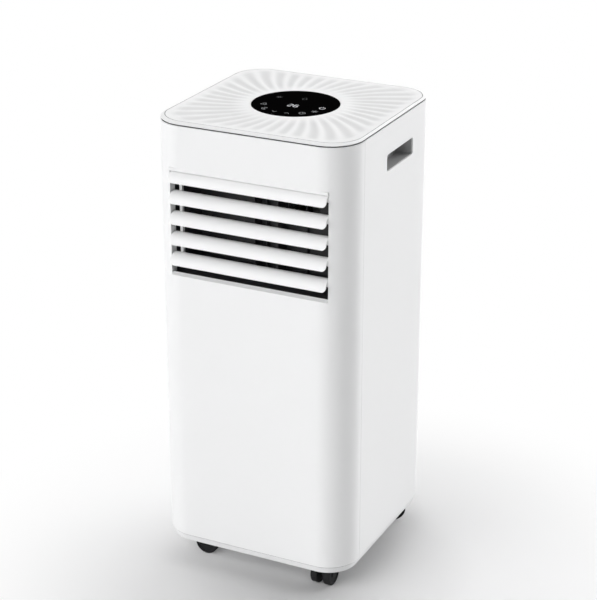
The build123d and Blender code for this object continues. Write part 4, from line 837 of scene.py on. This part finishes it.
def make_back():
    for node, name, edge in (
            ("filter_door", "filter_panel", 0.4), ("lower_grille", "intake_panel", 0.4),
            ("exhaust_collar", "hose_collar", 0.6), ("drain_spouts", "drain_tubes", 0.3),
            ("drain_plug_lower", "lower_plug", 0.3), ("drain_plug_upper", "upper_plug", 0.3),
            ("cord_inlet", "cord_bush", 0.4)):
        rounded(node, name, edge * MM)


def make_screws():
    """Pan heads with a cross recess on the four casing screws."""
    low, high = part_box("casing_screws")
    head = 3.5 * MM
    tall = high.y - LID_HIGH.y
    shank = 1.9 * MM
    screw = lathe("screw", [
        (0.0, low.y - high.y), (shank * 0.5, low.y - high.y), (shank, low.y - high.y + 1.2 * MM),
        (shank, -tall), (head, -tall), (head, -tall * 0.55), (head * 0.86, -tall * 0.2), (head * 0.55, 0.0),
        (0.0, 0.0)], (0, 0, 0), (0, 1, 0), FINISHES["zinc_steel"], 24)
    for turn in (0, 1):
        cutter_mesh = bmesh.new()
        bmesh.ops.create_cube(cutter_mesh, size=1.0)
        for vertex in cutter_mesh.verts:
            across, along = (0.7 * MM, 3.6 * MM) if turn else (3.6 * MM, 0.7 * MM)
            vertex.co = Vector((vertex.co.x * across, vertex.co.y * 2 * MM, vertex.co.z * along))
        cutter = piece_from("cutter", cutter_mesh, FINISHES["zinc_steel"])
        cut = screw.modifiers.new("Recess", "BOOLEAN")
        cut.object = cutter
        cut.operation = "DIFFERENCE"
        settle(screw)
        bpy.data.objects.remove(cutter)
    places = [(x, high.y, z) for x in (low.x + head, high.x - head) for z in (low.z + head, high.z - head)]
    screws = grow("pan_screws", scatter_tree(), {"Part": screw}, FINISHES["zinc_steel"],
                  points_mesh("screw_places", places))
    bpy.data.objects.remove(screw)
    place(screws, "casing", "zinc_steel", "casing_screws")


def make_filter_net(tree, settings):
    """The filter's frame and its woven net."""
    low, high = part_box("dust_filter")
    size = high - low
    middle = (low + high) / 2
    material = FINISHES["filter_mesh"]
    columns = int(size.x / settings.net_pitch) - 1
    rows = int(size.z / settings.net_pitch) - 1
    upright = grow("net_uprights", tree, {
        "Count": columns, "First": (middle.x - (columns - 1) / 2 * settings.net_pitch, middle.y, middle.z),
        "Step": (settings.net_pitch, 0, 0), "Size": (settings.strand, settings.strand, size.z - 2 * MM),
    }, material)
    level = grow("net_levels", tree, {
        "Count": rows, "First": (middle.x, middle.y, middle.z - (rows - 1) / 2 * settings.net_pitch),
        "Step": (0, 0, settings.net_pitch), "Size": (size.x - 2 * MM, settings.strand, settings.strand),
    }, material)
    builder = bmesh.new()
    bar = 6 * MM
    for x, z, width, height in (
            (low.x + bar / 2, middle.z, bar, size.z), (high.x - bar / 2, middle.z, bar, size.z),
            (middle.x, middle.z, bar, size.z - 2 * bar), (middle.x, low.z + bar / 2, size.x - 2 * bar, bar),
            (middle.x, high.z - bar / 2, size.x - 2 * bar, bar), (middle.x, middle.z, size.x - 2 * bar, bar)):
        half = Vector((width, size.y, height)) / 2
        centre = Vector((x, middle.y, z))
        add_block(builder, (centre - half) / MM, (centre + half) / MM)
    rim = piece_from("filter_frame", builder, material)
    for item in (upright, level):
        place(item, "filter_door", "filter_mesh")
    place(rim, "filter_door", "filter_mesh", "dust_filter")


def make_fin_packs(tree, settings):
    """Thin fins between the end plates of both heat exchangers."""
    material = FINISHES["fin_aluminium"]
    for node, name in (("evaporator_coil", "cold_fins"), ("condenser_coil", "hot_fins")):
        low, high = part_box(node)
        size = high - low
        middle = (low + high) / 2
        plate, tube, tube_pitch = 2 * MM, 7 * MM, 12 * MM
        count = int((size.x - 2 * plate) / settings.fin_pitch)
        first = middle.x - (count - 1) / 2 * settings.fin_pitch
        fins = grow(name, tree, {
            "Count": count, "First": (first, middle.y, middle.z), "Step": (settings.fin_pitch, 0, 0),
            "Size": (settings.fin_thickness, size.y - 2 * plate, size.z),
        }, material)
        ends = grow(f"{name}_plates", tree, {
            "Count": 2, "First": (low.x + plate / 2, middle.y, middle.z), "Step": (size.x - plate, 0, 0),
            "Size": (plate, size.y, size.z),
        }, material)
        tubes = grow(f"{name}_tubes", tree, {
            "Count": int(size.z / tube_pitch), "First": (middle.x, middle.y, low.z + 8 * MM),
            "Step": (0, 0, tube_pitch), "Size": (size.x - 2 * plate, tube, tube),
        }, FINISHES["copper"])
        place(fins, "casing", "fin_aluminium")
        place(ends, "casing", "fin_aluminium", node)
        place(tubes, "casing", "copper")


# ---------------------------------------------------------------- studio
# name, the setting that scales it, strength, direction round from +X and height, in degrees
LAMPS = (
    ("back_low", "back_light", 1.38, 80, 18), ("back_right", "back_light", 0.62, 60, 28),
    ("back_high", "back_light", 0.47, 116, 55), ("left_high", "back_light", 0.21, 160, 45),
    ("front_low", "front_light", 1.78, -124, 21), ("front_high", "front_light", 0.74, -95, 35),
    ("side_low", "side_light", 2.05, 48, 8))


def sun(name, strength, turn, height, spread=50.0):
    """A soft lamp that shines from a direction."""
    data = bpy.data.lights.new(name, "SUN")
    data.energy = strength
    data.angle = math.radians(spread)
    lamp = bpy.data.objects.new(name, data)
    bpy.context.scene.collection.objects.link(lamp)
    around, up = math.radians(turn), math.radians(height)
    toward = Vector((math.cos(up) * math.cos(around), math.cos(up) * math.sin(around), math.sin(up)))
    lamp.location = toward * 4
    lamp.rotation_euler = toward.to_track_quat("Z", "Y").to_euler()


def seen_directly(nodes):
    """1 for rays from the camera, also by way of a reflection or through glass, and 0 for other light."""
    paths = nodes.add("ShaderNodeLightPath")
    kinds = ("Is Camera Ray", "Is Glossy Ray", "Is Transmission Ray")
    camera, glossy, through = (Value(nodes, paths.outputs[kind]) for kind in kinds)
    return nodes.math("MAXIMUM", nodes.math("MAXIMUM", camera, glossy), through)


def studio_floor(size):
    builder = bmesh.new()
    bmesh.ops.create_grid(builder, x_segments=1, y_segments=1, size=size / 2)
    material = bpy.data.materials.new("studio_floor")
    material.use_nodes = True
    nodes = Nodes(material.node_tree)
    shader = material.node_tree.nodes["Principled BSDF"]
    shader.inputs["Base Color"].default_value = (0.87, 0.87, 0.875, 1.0)
    shader.inputs["Roughness"].default_value = 0.9
    shader.inputs["Specular IOR Level"].default_value = 0.0
    place_of = nodes.value("ShaderNodeTexCoord", output="Object")
    under = (0.10, -0.09, 0.0)
    far = nodes.value("ShaderNodeVectorMath", {"operation": "DISTANCE"}, {0: place_of, 1: under}, "Value")
    glow = nodes.smooth(far, 0.08, 0.24)
    white = nodes.value("ShaderNodeEmission", {}, {"Color": (1, 1, 1, 1), "Strength": glow})
    # the white takes over away from the unit, and right under it its black end deepens the shadow
    share = nodes.smooth(far, 0.06, 0.62) + 0.20 * (1.0 - nodes.smooth(far, 0.02, 0.25))
    mix = nodes.add("ShaderNodeMixShader", {}, {
        0: seen_directly(nodes) * share, 1: Value(nodes, shader.outputs[0]), 2: white})
    output = material.node_tree.nodes["Material Output"]
    material.node_tree.links.new(mix.outputs[0], output.inputs["Surface"])
    floor = piece_from("floor", builder, material)


def studio_sky(strength):
    world = bpy.data.worlds.new("studio")
    world.use_nodes = True
    bpy.context.scene.world = world
    nodes = Nodes(world.node_tree)
    background = world.node_tree.nodes["Background"]
    background.inputs["Color"].default_value = (1.0, 1.0, 1.0, 1.0)
    background.inputs["Strength"].default_value = strength
    white = nodes.value("ShaderNodeBackground", {}, {"Color": (1, 1, 1, 1), "Strength": 1.0})
    mix = nodes.add("ShaderNodeMixShader", {}, {
        0: seen_directly(nodes), 1: Value(nodes, background.outputs[0]), 2: white})
    output = world.node_tree.nodes["World Output"]
    world.node_tree.links.new(mix.outputs[0], output.inputs["Surface"])


def studio_camera(settings):
    data = bpy.data.cameras.new("camera")
    data.lens = settings.lens
    data.sensor_width = 36.0
    data.clip_end = 60.0
    camera = bpy.data.objects.new("camera", data)
    camera.location = settings.camera
    camera.rotation_euler = (math.pi / 2 - settings.pitch, 0.0, settings.heading)
    bpy.context.scene.collection.objects.link(camera)
    bpy.context.scene.camera = camera


# ---------------------------------------------------------------- operators
class AIRCON_OT_finishes(bpy.types.Operator):
    """Give every frame node its finish"""

    bl_idname = "aircon.finishes"
    bl_label = "Finishes"

    def execute(self, context):
        make_finishes(context.scene.aircon_finish)
        return {"FINISHED"}


class AIRCON_OT_casing(bpy.types.Operator):
    """Break the edges of the casing, base and grips"""

    bl_idname = "aircon.casing"
    bl_label = "Casing"

    def execute(self, context):
        make_casing()
        return {"FINISHED"}


class AIRCON_OT_lid(bpy.types.Operator):
    """Make the lid with its swirled flutes"""

    bl_idname = "aircon.lid"
    bl_label = "Lid"

    def execute(self, context):
        make_lid(context.scene.aircon_lid)
        return {"FINISHED"}


class AIRCON_OT_touch_panel(bpy.types.Operator):
    """Make the glass touch panel, its keys and its display"""

    bl_idname = "aircon.touch_panel"
    bl_label = "Touch panel"

    def execute(self, context):
        make_touch_panel(context.scene.aircon_panel)
        return {"FINISHED"}


class AIRCON_OT_louvres(bpy.types.Operator):
    """Make the louvre blades, their link bar and the ribs behind them"""

    bl_idname = "aircon.louvres"
    bl_label = "Louvres"

    def execute(self, context):
        make_louvres()
        make_outlet_inside()
        return {"FINISHED"}


class AIRCON_OT_casters(bpy.types.Operator):
    """Make the four twin-wheel casters"""

    bl_idname = "aircon.casters"
    bl_label = "Casters"

    def execute(self, context):
        make_casters()
        return {"FINISHED"}


class AIRCON_OT_back(bpy.types.Operator):
    """Make the grilles, collar, drains, cord bush and screws of the back"""

    bl_idname = "aircon.back"
    bl_label = "Back"

    def execute(self, context):
        make_back()
        make_screws()
        return {"FINISHED"}


class AIRCON_OT_cooling(bpy.types.Operator):
    """Make the fin packs and the filter's net"""

    bl_idname = "aircon.cooling"
    bl_label = "Fins and filter"

    def execute(self, context):
        tree = row_tree()
        make_fin_packs(tree, context.scene.aircon_cooling)
        make_filter_net(tree, context.scene.aircon_cooling)
        return {"FINISHED"}


class AIRCON_OT_stage(bpy.types.Operator):
    """Set the floor, lamps, sky and camera"""

    bl_idname = "aircon.stage"
    bl_label = "Studio"

    def execute(self, context):
        settings = context.scene.aircon_stage
        context.scene.view_settings.view_transform = "Standard"
        studio_floor(settings.floor_size)
        studio_sky(settings.sky)
        for name, setting, strength, turn, height in LAMPS:
            sun(name, strength * getattr(settings, setting), turn, height)
        studio_camera(settings)
        return {"FINISHED"}


class AIRCON_PT_panel(bpy.types.Panel):
    """Lists the operators and their settings"""

    bl_idname = "AIRCON_PT_panel"
    bl_label = "Portable air conditioner"
    bl_space_type = "VIEW_3D"
    bl_region_type = "UI"
    bl_category = "Air conditioner"

    def draw(self, context):
        for operator in OPERATORS:
            self.layout.operator(operator.bl_idname)
        for name, group in SETTINGS.items():
            box = self.layout.box()
            box.label(text=group.__doc__)
            for key in group.__annotations__:
                box.prop(getattr(context.scene, name), key)


SETTINGS = {
    "aircon_finish": FinishSettings, "aircon_lid": LidSettings, "aircon_panel": PanelSettings,
    "aircon_cooling": CoolingSettings, "aircon_stage": StageSettings}
OPERATORS = (
    AIRCON_OT_finishes, AIRCON_OT_casing, AIRCON_OT_lid, AIRCON_OT_touch_panel, AIRCON_OT_louvres,
    AIRCON_OT_casters, AIRCON_OT_back, AIRCON_OT_cooling, AIRCON_OT_stage)


def register():
    for item in (*SETTINGS.values(), *OPERATORS, AIRCON_PT_panel):
        bpy.utils.register_class(item)
    for name, group in SETTINGS.items():
        setattr(bpy.types.Scene, name, PointerProperty(type=group))


def unregister():
    for name in SETTINGS:
        delattr(bpy.types.Scene, name)
    for item in (AIRCON_PT_panel, *reversed(OPERATORS), *SETTINGS.values()):
        bpy.utils.unregister_class(item)


def main():
    register()
    for operator in OPERATORS:
        getattr(bpy.ops.aircon, operator.bl_idname.split(".")[1])()


if __name__ == "__main__":
    main()
